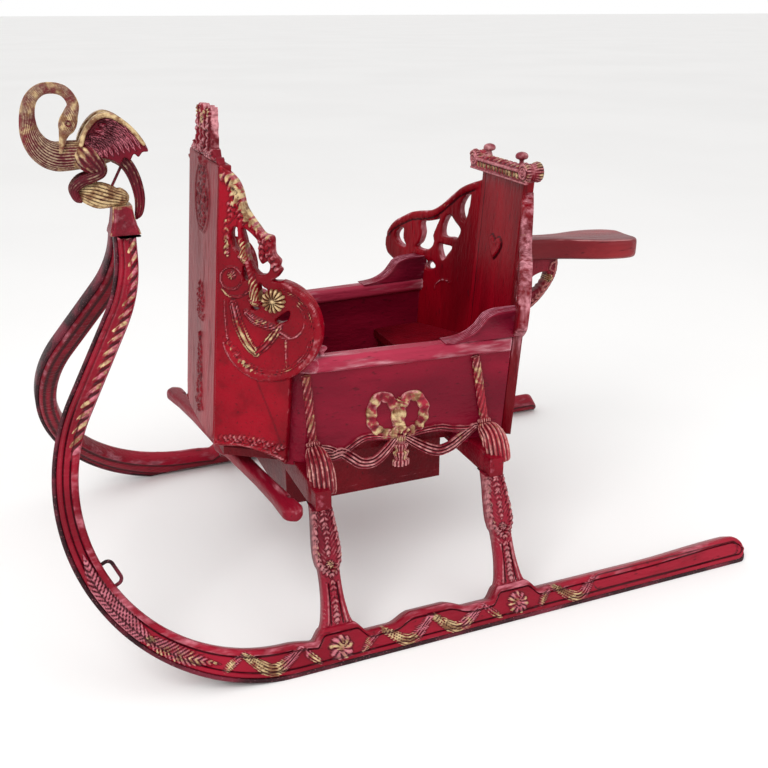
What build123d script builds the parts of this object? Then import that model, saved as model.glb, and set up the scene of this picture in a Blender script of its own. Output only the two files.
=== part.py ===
"""Child's push sleigh: carved and painted wood on two leaning runner frames with a swan figurehead."""
import os
from math import atan2, cos, hypot, radians, sin, tan

from build123d import *

# Frame: +X forward, +Y the left side, +Z up, floor at Z = 0, origin below the middle of the length.
# Overall sizes, in millimetres and degrees.
LENGTH = 1063
TRACK = 720
HORN_TOP = 560
HORN_HALF = 36.7

# Runner frames: planks in a plane that leans inwards, sole shod with an iron bar.
PLANK = 30
IRON = 6
FOOT_HEIGHT = 41
HEEL_RADIUS = 17
BEND_DEPTH = 48
BELLY_WIDTH = 34
HORN_RADIUS = 288
HORN_TURN = 120
HORN_RUN = 130
HORN_RETURN = 26
FRONT_RETURN_RADIUS = 200
BACK_RETURN_RADIUS = 230
HORN_TIP_RUN = 140
STAPLE_TURN = 66
STAPLE_SPAN = 34
STAPLE_STAND = 13
STAPLE_WIRE = 5
SWELL_HEIGHT = 54
SWELL_LENGTH = 60
SWELL_RAMP = 34
SWELL_FILLET = 60
BOSS_RAMP = 16
BOSS_FILLET = 22
BOSS_EDGE = 1
RECESS_LENGTH = 236
RECESS_HEIGHT = 19
RECESS_DEPTH = 2
RECESS_INSET = 11

# Posts between runner and body.
POST_SETBACK = 62.5
POST_REAR_INSET = 49.5
POST_RAKE = 3
POST_BOSS = 60
POST_FOOT = 42
POST_SHAFT = 29
POST_BULGE = 38
POST_THICK = 24
POST_EASE = 14
TENON_WIDTH = 16
TENON_THICK = 10
TENON_DEPTH = 16

# Bolsters under the body carry the posts.
BOLSTER_WIDTH = 30
BOLSTER_HEIGHT = 38

# Body plan and levels.
BODY_BASE = 228
FLOOR_THICK = 12
PANEL = 16
SIDE_FRONT_SETBACK = 1.5
SIDE_LENGTH = 328
SIDE_REAR_Y = 187
SIDE_FRONT_Y = 165
SIDE_DROP = 6
SIDE_HEIGHT = 146
RAIL_HEIGHT = 24
RAIL_WIDTH = 28
RAIL_KNOB = 8
KNOB_INSET = 40
SCROLL_LENGTH = 100
SCROLL_HEIGHT = 42

# Carved ornaments of the sides.
RIBBON = 10
RIBBON_PROUD = 9
BOW_HALF = 18
BOW_TALL = 27
BOW_TURN = 9
BOW_LIFT = 50
FESTOON_LIFT = 18
FESTOON_REACH = 95
FESTOON_ARCH = 8
FESTOON_SWAG = 34
FESTOON_TAIL = 20
ORNAMENT_SETBACK = 159
TASSEL_WIDTH = 20
TASSEL_LENGTH = 48
TASSEL_INSET = 8
TASSEL_FALL = 36
ROPE = 14
ROPE_SETBACK = 14
ROPE_FRONT_LEAN = 9
ROPE_REAR_LEAN = 24

# Front panel, crest and splayed front wings.
FRONT_REACH = 115
FRONT_LIFT = 18
FRONT_RAKE = 36
FRONT_HEIGHT = 416
FRONT_HALF = 99
FRONT_CORNER = 36
FRONT_THICK = 18
OVAL_RISE = 358
OVAL_HALF = 46
OVAL_HEIGHT = 100
OVAL_DEPTH = 5
CREST_HEIGHT = 72
CREST_TOP_HALF = 40
CREST_FOOT_HALF = 90
CREST_THICK = 12
WING_SPLAY = 35
WING_THICK = 16
WING_ARCH = 9
LOBE_BOW = 3
VOLUTE_RADIUS = 74
VOLUTE_REACH = 85
VOLUTE_RISE = 186
ROSETTE_REACH = 86
ROSETTE_RISE = 233
ROSETTE_RADIUS = 17
ROSETTE_HEIGHT = 9

# Back panel, rear wings and capital.
BACK_REACH = 60.5
BACK_RAKE = 28
BACK_HALF = 72
BACK_THICK = 18
BACK_HEIGHT = 378
CAPITAL_SEAT = 4
HEART_RISE = 252
HEART_HALF = 21
HEART_PROUD = 4
FLUTES = 13
FLUTE_PITCH = 11
FLUTE_DEPTH = 2
REAR_WING_DROP = 27
CAPITAL_HALF = 84
CAPITAL_HEIGHT = 20
CAPITAL_LIP = 14
CAPITAL_DEPTH = 32
CAPITAL_ROLL = 17
KNOB_SPACING = 108
KNOB_RADIUS = 10
KNOB_HEIGHT = 26

# Footwell box, seat and floor.
WELL_CLEAR = 14
WELL_HALF = 110
WELL_DEPTH = 98
WELL_WALL = 12
SEAT_HEIGHT = 77
SEAT_THICK = 14
SEAT_NOSE = 8

# Driver's saddle and bracket behind the back.
SADDLE_LENGTH = 262
SADDLE_RISE = 256
SADDLE_SLOPE = 2.7
SADDLE_THICK = 36
SADDLE_NECK = 44
SADDLE_HALF = 52
SADDLE_CORNER = 31
BRACKET_THICK = 24
BRACKET_REACH = 103
BRACKET_DROP = 160

# Swingletree under the front, on a vertical pin.
TREE_SETBACK = 40.5
TREE_HALF = 249
TREE_THICK = 20
TREE_DROP = 40
TREE_WAIST = 13
TREE_END_RADIUS = 20
TREE_NOTCH = 7
TREE_SKEW = 8
PIN_RADIUS = 6
PIN_PLAY = 0.06
PIN_COLLAR = 12
TREE_GAP = 0.4

# Figurehead above the horns.
BLOCK_LENGTH = 44
BLOCK_TOP_LENGTH = 28
BLOCK_TOP_HALF = 17
BLOCK_LIP = 0.3
BLOCK_HEIGHT = 40
BIRD_AHEAD = 77
LOOP_LIFT = 123
LOOP_RADIUS = 33
LOOP_TALL = 37
NECK_RADIUS = 7
NECK_ROOT = 15
FEATHER_THICK = 8
BUD_RADIUS = 18
BUD_LENGTH = 66
BUD_FORWARD = 22
NECK_START = -100
NECK_SWEEP = 285
HEAD_LENGTH = 46
HEAD_RADIUS = 11
BIRD_GIRTH = 20
BODY_LIFT = 64
LEG_RADIUS = 6
WING_SPAN = 100
WING_RAISE = 47
TAIL_DEPTH = 31
TAIL_THICK = 11
TAIL_HALF = 8

half_length = LENGTH / 2
lean = atan2(TRACK / 2 - HORN_HALF, HORN_TOP)
lean_sin = sin(lean)
lean_cos = cos(lean)
# Local x runs forward, local y up the leaning face, local z inwards through the plank.
RUNNER_FACE = Plane(origin=(0, TRACK / 2, 0), x_dir=(1, 0, 0), z_dir=(0, -lean_cos, -lean_sin))
bend_x = half_length - HORN_RADIUS
# Stations along the body follow from where the horns bend up.
post_front_x = bend_x - POST_SETBACK
side_front_x = post_front_x - SIDE_FRONT_SETBACK
side_rear_x = side_front_x - SIDE_LENGTH
post_rear_x = side_rear_x + POST_REAR_INSET
front_base_x = side_front_x + FRONT_REACH
back_x = side_rear_x - BACK_REACH
# Levels of the body.
side_base = BODY_BASE - SIDE_DROP
rail_base = side_base + SIDE_HEIGHT
front_base = BODY_BASE + FRONT_LIFT
back_top = BODY_BASE + BACK_HEIGHT
well_base = BODY_BASE - WELL_DEPTH
seat_top = BODY_BASE + SEAT_HEIGHT
saddle_top = BODY_BASE + SADDLE_RISE
festoon_rise = side_base + FESTOON_LIFT
bow_rise = festoon_rise + BOW_LIFT
tree_base = BODY_BASE - TREE_DROP


def horn_edge(start, radius, return_radius):
    """Tangent chain up one edge of the horn: big bend, straight run, return bend, tip run."""
    bend = JernArc(start=start, tangent=(1, 0), radius=radius, arc_size=HORN_TURN)
    run = PolarLine(start=bend @ 1, length=HORN_RUN, direction=bend % 1)
    back = JernArc(start=run @ 1, tangent=run % 1, radius=return_radius, arc_size=-HORN_RETURN)
    return PolarLine(start=back @ 1, length=HORN_TIP_RUN, direction=back % 1)


def foot_top():
    """Upper edge of the foot from the heel forward: bosses under both posts and a swell between."""
    boss = POST_FOOT / 2 + BOSS_EDGE
    swell = SWELL_LENGTH / 2
    middle = (post_front_x + post_rear_x) / 2
    # Columns: distance along the foot, height, fillet radius.
    corners = [(-half_length, FOOT_HEIGHT, HEEL_RADIUS)]
    # Columns: middle, half length on top, ramp, height, height ahead of it, radii below and above.
    for x, half, ramp, top, ahead, low, high in (
        (post_rear_x, boss, BOSS_RAMP, POST_BOSS, FOOT_HEIGHT, BOSS_FILLET, BOSS_EDGE),
        (middle, swell, SWELL_RAMP, SWELL_HEIGHT, FOOT_HEIGHT, SWELL_FILLET, SWELL_FILLET),
        (post_front_x, boss, BOSS_RAMP, POST_BOSS, BEND_DEPTH, BOSS_FILLET, BOSS_EDGE),
    ):
        corners += [
            (x - half - ramp, FOOT_HEIGHT, low),
            (x - half, top, high),
            (x + half, top, high),
            (x + half + ramp, ahead, low),
        ]
    return corners


def runner_outline(sole):
    """Closed outline of foot and horn; sole is how far its lower and front edge is set back."""
    back_radius = HORN_RADIUS - BEND_DEPTH
    back_x = bend_x + BEND_DEPTH - BELLY_WIDTH
    corners = foot_top()
    heel = max(HEEL_RADIUS - sole, 2)
    with BuildLine() as outline:
        front_tip = horn_edge((bend_x, sole), HORN_RADIUS - sole, FRONT_RETURN_RADIUS + sole)
        back_tip = horn_edge((back_x, BEND_DEPTH), back_radius, BACK_RETURN_RADIUS)
        Line(front_tip @ 1, back_tip @ 1)
        points = [(bend_x, sole), (-half_length, sole)] + [(x, v) for x, v, r in corners]
        points.append((back_x, BEND_DEPTH))
        FilletPolyline(*points, radius=[heel] + [r for x, v, r in corners])
    return outline


# Posts, front and rear: sawn board with a flared foot and a bulge, tenoned at both ends.
bolster_base = BODY_BASE - BOLSTER_HEIGHT
post_top = (bolster_base + PLANK * lean_sin) / lean_cos
post_rise = post_top - POST_BOSS


def post_at(foot_x):
    """One left post standing on the runner's boss, its head cut level under the bolster."""
    # Columns: share of the rise, width there.
    levels = (
        (0, POST_FOOT),
        (0.18, POST_SHAFT),
        (0.42, POST_SHAFT),
        (0.58, POST_BULGE),
        (0.78, POST_SHAFT),
        (1.2, POST_SHAFT),
    )
    sides = [(POST_BOSS + share * post_rise, width / 2) for share, width in levels]
    slope = tan(radians(POST_RAKE))

    def corner(sign, v, half):
        return (foot_x + sign * half - slope * (v - POST_BOSS), v)

    right = [corner(1, v, half) for v, half in sides]
    left = [corner(-1, v, half) for v, half in reversed(sides)]
    with BuildPart() as post:
        with BuildSketch(RUNNER_FACE.offset((PLANK - POST_THICK) / 2)):
            with BuildLine():
                FilletPolyline(*right, radius=[POST_EASE] * (len(right) - 2))
                FilletPolyline(*left, radius=[POST_EASE] * (len(left) - 2))
                Line(right[-1], left[0])
                Line(left[-1], right[0])
            make_face()
        extrude(amount=POST_THICK)
        split(bisect_by=Plane.XY.offset(bolster_base), keep=Keep.BOTTOM)
        with BuildSketch(RUNNER_FACE.offset((PLANK - TENON_THICK) / 2)):
            tenon_rise = post_rise + 2 * TENON_DEPTH
            with Locations(Location((foot_x - slope * post_rise / 2, POST_BOSS + post_rise / 2), POST_RAKE)):
                Rectangle(TENON_WIDTH, tenon_rise)
        extrude(amount=TENON_THICK)
    return post


post_front = post_at(post_front_x)
post_rear = post_at(post_rear_x)

# Runners and their irons: both ends rise into horns that meet over the front.
with BuildPart() as runner_blank:
    with BuildSketch(RUNNER_FACE):
        with BuildLine():
            add(runner_outline(IRON).line)
        make_face()
    extrude(amount=PLANK)
    split(bisect_by=Plane.XY.offset(IRON), keep=Keep.TOP)
    split(bisect_by=Plane.XY.offset(HORN_TOP), keep=Keep.BOTTOM)

with BuildPart() as runner:
    add(runner_blank.part)
    with BuildSketch(RUNNER_FACE):
        with Locations((RECESS_INSET - half_length + RECESS_LENGTH / 2, (IRON + FOOT_HEIGHT) / 2)):
            SlotOverall(RECESS_LENGTH, RECESS_HEIGHT)
    extrude(amount=RECESS_DEPTH, mode=Mode.SUBTRACT)
    add(post_front.part, mode=Mode.SUBTRACT)
    add(post_rear.part, mode=Mode.SUBTRACT)

with BuildPart() as runner_iron:
    with BuildSketch(RUNNER_FACE):
        with BuildLine():
            add(runner_outline(0).line)
        make_face()
    extrude(amount=PLANK)
    split(bisect_by=Plane.XY, keep=Keep.TOP)
    split(bisect_by=Plane.XY.offset(HORN_TOP), keep=Keep.BOTTOM)
    add(runner_blank.part, mode=Mode.SUBTRACT)

# Bolsters: a beam across behind the footwell, and an arm on each side of it at the front.
RIGHT_FACE = Plane(origin=(0, -TRACK / 2, 0), x_dir=(1, 0, 0), z_dir=(0, lean_cos, -lean_sin))
head_shift = tan(radians(POST_RAKE)) * post_rise
bolster_middle = BODY_BASE - BOLSTER_HEIGHT / 2

with BuildPart() as bolster_rear:
    with Locations((post_rear_x - head_shift, 0, bolster_middle)):
        Box(BOLSTER_WIDTH, TRACK, BOLSTER_HEIGHT)
    split(bisect_by=RUNNER_FACE, keep=Keep.TOP)
    split(bisect_by=RIGHT_FACE, keep=Keep.TOP)
    add(post_rear.part, mode=Mode.SUBTRACT)
    add(mirror(post_rear.part, about=Plane.XZ, mode=Mode.PRIVATE), mode=Mode.SUBTRACT)

with BuildPart() as bolster_front:
    with Locations((post_front_x - head_shift, WELL_HALF, bolster_middle)):
        Box(BOLSTER_WIDTH, TRACK / 2, BOLSTER_HEIGHT, align=(Align.CENTER, Align.MIN, Align.CENTER))
    split(bisect_by=RUNNER_FACE, keep=Keep.TOP)
    add(post_front.part, mode=Mode.SUBTRACT)


def leaning_plane(origin, along, up):
    """Plane through a point that holds both directions; its normal is along x up."""
    return Plane(origin=origin, x_dir=along, z_dir=along.cross(up))


def in_plane(along, up):
    """Turns (distance along, distance up the leaning edge) into the plane's own x and y."""
    skew = along.dot(up)
    rise = (1 - skew**2) ** 0.5
    return lambda a, b: (a + b * skew, b * rise)


# Front panel: raked board with a sunk oval field and rounded lower corners.
front_up = Vector(-FRONT_RAKE, 0, FRONT_HEIGHT).normalized()
front_rise = hypot(FRONT_RAKE, FRONT_HEIGHT)
FRONT_FACE = leaning_plane((front_base_x, 0, front_base), Vector(0, 1, 0), front_up)

with BuildPart() as front_panel:
    with BuildSketch(FRONT_FACE) as front_outline:
        with Locations((0, front_rise / 2)):
            Rectangle(2 * FRONT_HALF, front_rise)
        fillet(front_outline.vertices().group_by(Axis.Z)[0], FRONT_CORNER)
    extrude(amount=-FRONT_THICK)
    with BuildSketch(FRONT_FACE):
        with Locations((0, OVAL_RISE)):
            Ellipse(OVAL_HALF, OVAL_HEIGHT / 2)
    extrude(amount=-OVAL_DEPTH, mode=Mode.SUBTRACT)

# Pierced crest standing on the front panel.
with BuildPart() as front_crest:
    with BuildSketch(FRONT_FACE):
        with BuildLine():
            # Columns: share of the way from the top's half width to the foot's, share of the height.
            steps = ((1, 0), (0.4, 0.13), (0.12, 0.36), (0, 0.72), (0, 1))
            flare = CREST_FOOT_HALF - CREST_TOP_HALF
            right = [(CREST_TOP_HALF + a * flare, front_rise + b * CREST_HEIGHT) for a, b in steps]
            left = [(-half, v) for half, v in reversed(right)]
            Polyline(*right, *left, close=True)
        make_face()
        # Columns: place across and half width as shares of the top's half width, rise and half height of
        # the crest's height.
        for a, half, b, tall in ((0, 0.22, 0.5, 0.21), (0.6, 0.15, 0.36, 0.15), (0.55, 0.13, 0.75, 0.11)):
            for across in (a * CREST_TOP_HALF, -a * CREST_TOP_HALF):
                with Locations((across, front_rise + b * CREST_HEIGHT)):
                    Ellipse(half * CREST_TOP_HALF, tall * CREST_HEIGHT, mode=Mode.SUBTRACT)
    extrude(amount=-CREST_THICK)


def bowed(corners, bow, close=False):
    """Chain of arcs from corner to corner, each bowed to the left of its way by bow or by its own share."""
    ends = corners[1:] + corners[:1] if close else corners[1:]
    for (x0, y0, share), (x1, y1, _) in zip(corners, ends):
        long = hypot(x1 - x0, y1 - y0)
        aside = bow * share / long
        middle = ((x0 + x1) / 2 - aside * (y1 - y0), (y0 + y1) / 2 + aside * (x1 - x0))
        ThreePointArc((x0, y0), middle, (x1, y1))


def pierce(point, reach, height, openings):
    """Cuts bowed openings out of the sketch. A corner is its share of the reach, its share of the height and
    the bow of the side that starts there as a share of the reach."""
    for corners in openings:
        with BuildLine() as loop:
            bowed([(*point(a * reach, b * height), bow) for a, b, bow in corners], reach, close=True)
        make_face(loop.edges(), mode=Mode.SUBTRACT)


# Front wings: splayed pierced boards that end in a large volute.
wing_along = Vector(-cos(radians(WING_SPLAY)), sin(radians(WING_SPLAY)), 0)
WING_FACE = leaning_plane((front_base_x, FRONT_HALF, front_base), wing_along, front_up)
wing_point = in_plane(wing_along, front_up)
seam_reach = (SIDE_FRONT_Y - FRONT_HALF) / sin(radians(WING_SPLAY))
wing_drop = front_base - BODY_BASE

with BuildPart() as front_wing:
    with BuildSketch(WING_FACE):
        with BuildLine():
            # Scalloped rim. Columns: share of the reach, share of the height.
            rim = (
                (0, 1), (0.104, 0.977), (0.226, 0.948), (0.313, 0.881), (0.408, 0.836), (0.521, 0.797),
                (0.687, 0.771), (0.713, 0.716), (0.791, 0.69), (0.817, 0.661), (0.73, 0.625),
            )
            edge = [wing_point(a * seam_reach, b * front_rise) for a, b in rim]
            bowed([(x, y, 1) for x, y in edge], LOBE_BOW)
            foot = (wing_point(seam_reach, VOLUTE_RISE), wing_point(seam_reach, -wing_drop))
            Polyline(edge[-1], *foot)
            ThreePointArc(foot[1], wing_point(seam_reach / 2, WING_ARCH - wing_drop / 2), wing_point(0, 0))
            Line(wing_point(0, 0), edge[0])
        make_face()
        with Locations(wing_point(VOLUTE_REACH, VOLUTE_RISE)):
            Circle(VOLUTE_RADIUS)
        # Openings of the fretwork, clockwise. Columns: along, up, bow.
        pierce(wing_point, seam_reach, front_rise, (
            ((0.174, 0.793, 0.026), (0.252, 0.796, -0.017), (0.304, 0.718, 0.026), (0.217, 0.735, 0.017)),
            (
                (0.304, 0.802, 0.026), (0.525, 0.75, -0.035), (0.539, 0.694, -0.02), (0.66, 0.687, 0.043),
                (0.643, 0.644, 0.026), (0.452, 0.673, -0.02),
            ),
            ((0.335, 0.674, 0.03), (0.391, 0.625, 0.022)),
            ((0.539, 0.616, 0.026), (0.635, 0.594, 0.02), (0.582, 0.546, 0.017)),
            ((0.435, 0.531, 0.026), (0.574, 0.524, 0.035)),
            ((0.774, 0.489, 0.03), (0.947, 0.522, 0.06), (0.9, 0.48, 0.03)),
        ))
    extrude(amount=-WING_THICK)
    add(front_panel.part, mode=Mode.SUBTRACT)
    add(front_crest.part, mode=Mode.SUBTRACT)

with BuildPart() as wing_rosette:
    with BuildSketch(WING_FACE) as rosette:
        with Locations(wing_point(ROSETTE_REACH, ROSETTE_RISE)):
            with PolarLocations(ROSETTE_RADIUS * 0.72, 12):
                Circle(ROSETTE_RADIUS * 0.28)
            Circle(ROSETTE_RADIUS * 0.76)
    extrude(amount=ROSETTE_HEIGHT * 0.5)
    with BuildSketch(WING_FACE.offset(ROSETTE_HEIGHT * 0.5)):
        with Locations(wing_point(ROSETTE_REACH, ROSETTE_RISE)):
            Circle(ROSETTE_RADIUS * 0.3)
    extrude(amount=ROSETTE_HEIGHT * 0.5)

# Back panel: raked board, then the splayed rear wings that carry on outside the sides.
back_up = Vector(-BACK_RAKE, 0, back_top - BODY_BASE).normalized()
back_rise = hypot(BACK_RAKE, back_top - BODY_BASE)
BACK_FACE = leaning_plane((back_x, 0, BODY_BASE), Vector(0, 1, 0), back_up)

with BuildPart() as back_panel:
    with BuildSketch(BACK_FACE):
        with Locations((0, back_rise / 2)):
            Rectangle(2 * BACK_HALF, back_rise)
    extrude(amount=-BACK_THICK)
    split(bisect_by=Plane.XY.offset(back_top - CAPITAL_SEAT), keep=Keep.BOTTOM)
    with BuildSketch(BACK_FACE):
        with Locations((HEART_HALF * 0.5, HEART_RISE), (-HEART_HALF * 0.5, HEART_RISE)):
            Circle(HEART_HALF * 0.55)
        with BuildLine():
            cheek = HEART_RISE - HEART_HALF * 0.2
            point = (0, HEART_RISE - HEART_HALF * 1.7)
            Polyline((-HEART_HALF, cheek), (HEART_HALF, cheek), point, close=True)
        make_face()
    extrude(amount=HEART_PROUD)

rear_run = Vector(side_rear_x - back_x, SIDE_REAR_Y - BACK_HALF, 0)
rear_along = rear_run.normalized()
REAR_FACE = leaning_plane((back_x, BACK_HALF, BODY_BASE), rear_along, back_up)
rear_point = in_plane(rear_along, back_up)
rear_reach = rear_run.length
rail_top = rail_base + RAIL_HEIGHT

with BuildPart() as rear_wing:
    with BuildSketch(REAR_FACE):
        with BuildLine():
            wing_top = back_rise - REAR_WING_DROP
            foot = ((0, wing_top), (0, 0), (rear_reach, 0), (rear_reach, rail_top - BODY_BASE))
            lower = Polyline(*[rear_point(a, b) for a, b in foot])
            # Columns: share of the reach, share of the height.
            rim = (
                (1.39, 0.515), (1.53, 0.562), (1.58, 0.631), (1.45, 0.727), (1.27, 0.773), (1, 0.812),
                (0.68, 0.848), (0.308, 0.955),
            )
            spots = [lower @ 1] + [rear_point(a * rear_reach, b * wing_top) for a, b in rim]
            for first in (0, 2, 4, 6):
                ThreePointArc(*spots[first:first + 3])
            Line(spots[8], lower @ 0)
        make_face()
        # Openings of the fretwork, clockwise. Columns: along, up, bow.
        pierce(rear_point, rear_reach, wing_top, (
            ((0.154, 0.937, 0.108), (0.208, 0.801, 0.031)),
            ((0.269, 0.753, 0.015), (0.469, 0.818, 0.062), (0.562, 0.702, 0.054)),
            ((0.631, 0.798, -0.031), (0.977, 0.753, -0.069), (1.024, 0.625, 0.054), (0.7, 0.67, -0.046)),
            ((1.254, 0.713, 0.131), (1.185, 0.614, -0.038)),
            ((0.377, 0.653, 0.023), (0.616, 0.662, 0.023), (0.523, 0.585, 0.015)),
            ((0.631, 0.54, 0.015), (0.716, 0.568, 0.015), (0.823, 0.523, 0.023)),
            ((0.793, 0.565, 0.015), (1.062, 0.582, 0.031), (0.9, 0.526, 0.023)),
        ))
    extrude(amount=-WING_THICK)
    add(back_panel.part, mode=Mode.SUBTRACT)

# Sides: boards between the wings, each with a rail on top and an arm scroll at the rear.
side_run = Vector(side_front_x - side_rear_x, SIDE_FRONT_Y - SIDE_REAR_Y, 0)
side_along = side_run.normalized()
side_inward = side_along.cross(Vector(0, 0, 1))
SIDE_FACE = Plane(origin=(side_rear_x, SIDE_REAR_Y, 0), x_dir=side_along, z_dir=side_inward)
side_length = side_run.length
rail_overhang = (RAIL_WIDTH - PANEL) / 2

# Centre lines of the festoon carved on each side: two crossing bands with their tails.
side_middle = side_length - ORNAMENT_SETBACK
festoon_eyes = []
festoon_tails = []
for sign in (1, -1):
    inner_end = (side_middle + sign * RIBBON / 2, festoon_rise)
    outer_end = (side_middle + sign * FESTOON_REACH, festoon_rise)
    eye = []
    for sag in (FESTOON_ARCH, -FESTOON_SWAG):
        crown = ((inner_end[0] + outer_end[0]) / 2, festoon_rise + sag)
        eye.append(ThreePointArc(inner_end, crown, outer_end))
    festoon_eyes.append(eye)
    tail_middle = (outer_end[0] + sign * FESTOON_TAIL / 2, festoon_rise - RIBBON / 2)
    tail_end = (outer_end[0] + sign * FESTOON_TAIL, festoon_rise + RIBBON / 2)
    festoon_tails.append(ThreePointArc(outer_end, tail_middle, tail_end))

with BuildPart() as side_panel:
    with BuildSketch(SIDE_FACE):
        with Locations((side_length / 2, (side_base + rail_base) / 2)):
            Rectangle(side_length + 4 * RAIL_WIDTH, rail_base - side_base)
    extrude(amount=PANEL)
    split(bisect_by=WING_FACE.offset(-WING_THICK), keep=Keep.BOTTOM)
    split(bisect_by=REAR_FACE, keep=Keep.TOP)
    with BuildSketch(SIDE_FACE):
        for eye in festoon_eyes:
            with BuildLine():
                add(eye)
            make_face()
    extrude(amount=PANEL, mode=Mode.SUBTRACT)
    add(bolster_front.part, mode=Mode.SUBTRACT)
    add(bolster_rear.part, mode=Mode.SUBTRACT)

with BuildPart() as side_rail:
    with BuildSketch(SIDE_FACE.offset(-rail_overhang)):
        with Locations((side_length / 2, rail_base + RAIL_HEIGHT / 2)):
            Rectangle(side_length + 4 * RAIL_WIDTH, RAIL_HEIGHT)
    extrude(amount=RAIL_WIDTH)
    long_edges = side_rail.edges().filter_by(Plane.XY).filter_by(lambda e: e.length > side_length)
    fillet(long_edges, RAIL_HEIGHT * 0.3)
    split(bisect_by=WING_FACE.offset(-WING_THICK), keep=Keep.BOTTOM)
    split(bisect_by=REAR_FACE, keep=Keep.TOP)

with BuildPart() as arm_scroll:
    with BuildSketch(SIDE_FACE.offset(-rail_overhang)):
        with BuildLine():
            back = -2 * RAIL_WIDTH / SCROLL_LENGTH
            # Columns: share of the length, share of the height.
            shares = (
                (back, 1), (back, 0), (1, 0), (1, 0.06), (0.72, 0.12), (0.47, 0.42), (0.32, 0.84), (0.06, 1),
            )
            spots = [(a * SCROLL_LENGTH, rail_top + b * SCROLL_HEIGHT) for a, b in shares]
            Polyline(*spots[:4])
            ThreePointArc(*spots[3:6])
            ThreePointArc(*spots[5:8])
            Line(spots[7], spots[0])
        make_face()
    extrude(amount=RAIL_WIDTH)
    split(bisect_by=REAR_FACE, keep=Keep.TOP)


def turned(base, line, stations):
    """Turned form along a line: circles lofted through (distance, radius) stations."""
    sections = []
    for distance, radius in stations:
        with BuildSketch(Plane(origin=base + line * distance, z_dir=line)) as section:
            Circle(radius)
        sections.append(section.sketch)
    return loft(sections=sections)


# Small turned knob at the front end of each rail.
with BuildPart() as rail_knob:
    knob_base = SIDE_FACE.from_local_coords((side_length - KNOB_INSET, rail_top, PANEL / 2))
    # Columns: height, radius, as shares of the knob's radius.
    shape = ((0, 0.6), (0.6, 0.5), (1.2, 1), (1.8, 0.5))
    turned(knob_base, Vector(0, 0, 1), [(h * RAIL_KNOB, r * RAIL_KNOB) for h, r in shape])

# Footwell box under the floor, then the floor board, the seat and its riser.
well_rear_x = post_rear_x - head_shift + BOLSTER_WIDTH / 2 + WELL_CLEAR
well_front_x = post_front_x - head_shift + BOLSTER_WIDTH / 2
well_middle = (well_rear_x + well_front_x) / 2
well_length = well_front_x - well_rear_x
well_height = BODY_BASE - well_base
LOW = (Align.CENTER, Align.CENTER, Align.MIN)

with BuildPart() as footwell_floor:
    with Locations((well_middle, 0, well_base)):
        Box(well_length, 2 * WELL_HALF, WELL_WALL, align=LOW)

with BuildPart() as footwell_side:
    with Locations((well_middle, WELL_HALF - WELL_WALL / 2, well_base + WELL_WALL)):
        Box(well_length, WELL_WALL, well_height - WELL_WALL, align=LOW)

with BuildPart() as footwell_front:
    with Locations((well_front_x - WELL_WALL / 2, 0, well_base + WELL_WALL)):
        Box(WELL_WALL, 2 * (WELL_HALF - WELL_WALL), well_height - WELL_WALL, align=LOW)

with BuildPart() as footwell_rear:
    with Locations((well_rear_x + WELL_WALL / 2, 0, well_base + WELL_WALL)):
        Box(WELL_WALL, 2 * (WELL_HALF - WELL_WALL), well_height - WELL_WALL, align=LOW)


def mirrored(plane):
    """The same plane on the right side, its normal kept inwards."""
    flip = [Vector(v.X, -v.Y, v.Z) for v in (plane.origin, plane.x_dir, plane.z_dir)]
    return Plane(origin=flip[0], x_dir=flip[1], z_dir=flip[2])


def trim_to_tub():
    """Cuts the board being built to the inside faces of sides, rear wings and back panel."""
    inner = SIDE_FACE.offset(PANEL)
    for face in (inner, mirrored(inner), REAR_FACE, mirrored(REAR_FACE), BACK_FACE):
        split(bisect_by=face, keep=Keep.TOP)


with BuildPart() as body_floor:
    with BuildSketch(Plane.XY.offset(BODY_BASE)):
        Rectangle(LENGTH, TRACK)
        with Locations((well_middle, 0)):
            Rectangle(well_length - 2 * WELL_WALL, 2 * (WELL_HALF - WELL_WALL), mode=Mode.SUBTRACT)
    extrude(amount=FLOOR_THICK)
    trim_to_tub()
    wing_inner = WING_FACE.offset(-WING_THICK)
    for face in (wing_inner, mirrored(wing_inner), FRONT_FACE.offset(-FRONT_THICK)):
        split(bisect_by=face, keep=Keep.BOTTOM)

floor_top = BODY_BASE + FLOOR_THICK
seat_base = seat_top - SEAT_THICK

with BuildPart() as seat_riser:
    with Locations((well_rear_x - PANEL / 2, 0, floor_top)):
        Box(PANEL, 2 * TRACK, seat_base - floor_top, align=LOW)
    trim_to_tub()

with BuildPart() as seat_board:
    with Locations((well_rear_x + SEAT_NOSE, 0, seat_base)):
        Box(LENGTH / 2, 2 * TRACK, SEAT_THICK, align=(Align.MAX, Align.CENTER, Align.MIN))
    trim_to_tub()

# Capital across the top of the back: fluted bar between two rolled ends, with two turned knobs.
capital_base = back_top - CAPITAL_SEAT
capital_front = back_x - BACK_RAKE + CAPITAL_LIP
CAPITAL_FACE = Plane(origin=(capital_front, 0, capital_base), x_dir=(0, 1, 0), z_dir=(1, 0, 0))

with BuildPart() as back_capital:
    with BuildSketch(CAPITAL_FACE):
        with Locations((0, CAPITAL_HEIGHT / 2)):
            Rectangle(2 * CAPITAL_HALF, CAPITAL_HEIGHT)
        with Locations((CAPITAL_HALF, CAPITAL_ROLL), (-CAPITAL_HALF, CAPITAL_ROLL)):
            Circle(CAPITAL_ROLL)
    extrude(amount=-CAPITAL_DEPTH)
    with BuildSketch(CAPITAL_FACE):
        with Locations((0, CAPITAL_HEIGHT / 2)):
            with GridLocations(FLUTE_PITCH, 1, FLUTES, 1):
                SlotOverall(CAPITAL_HEIGHT * 0.7, FLUTE_PITCH * 0.6, rotation=90)
    extrude(amount=-FLUTE_DEPTH, mode=Mode.SUBTRACT)

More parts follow.
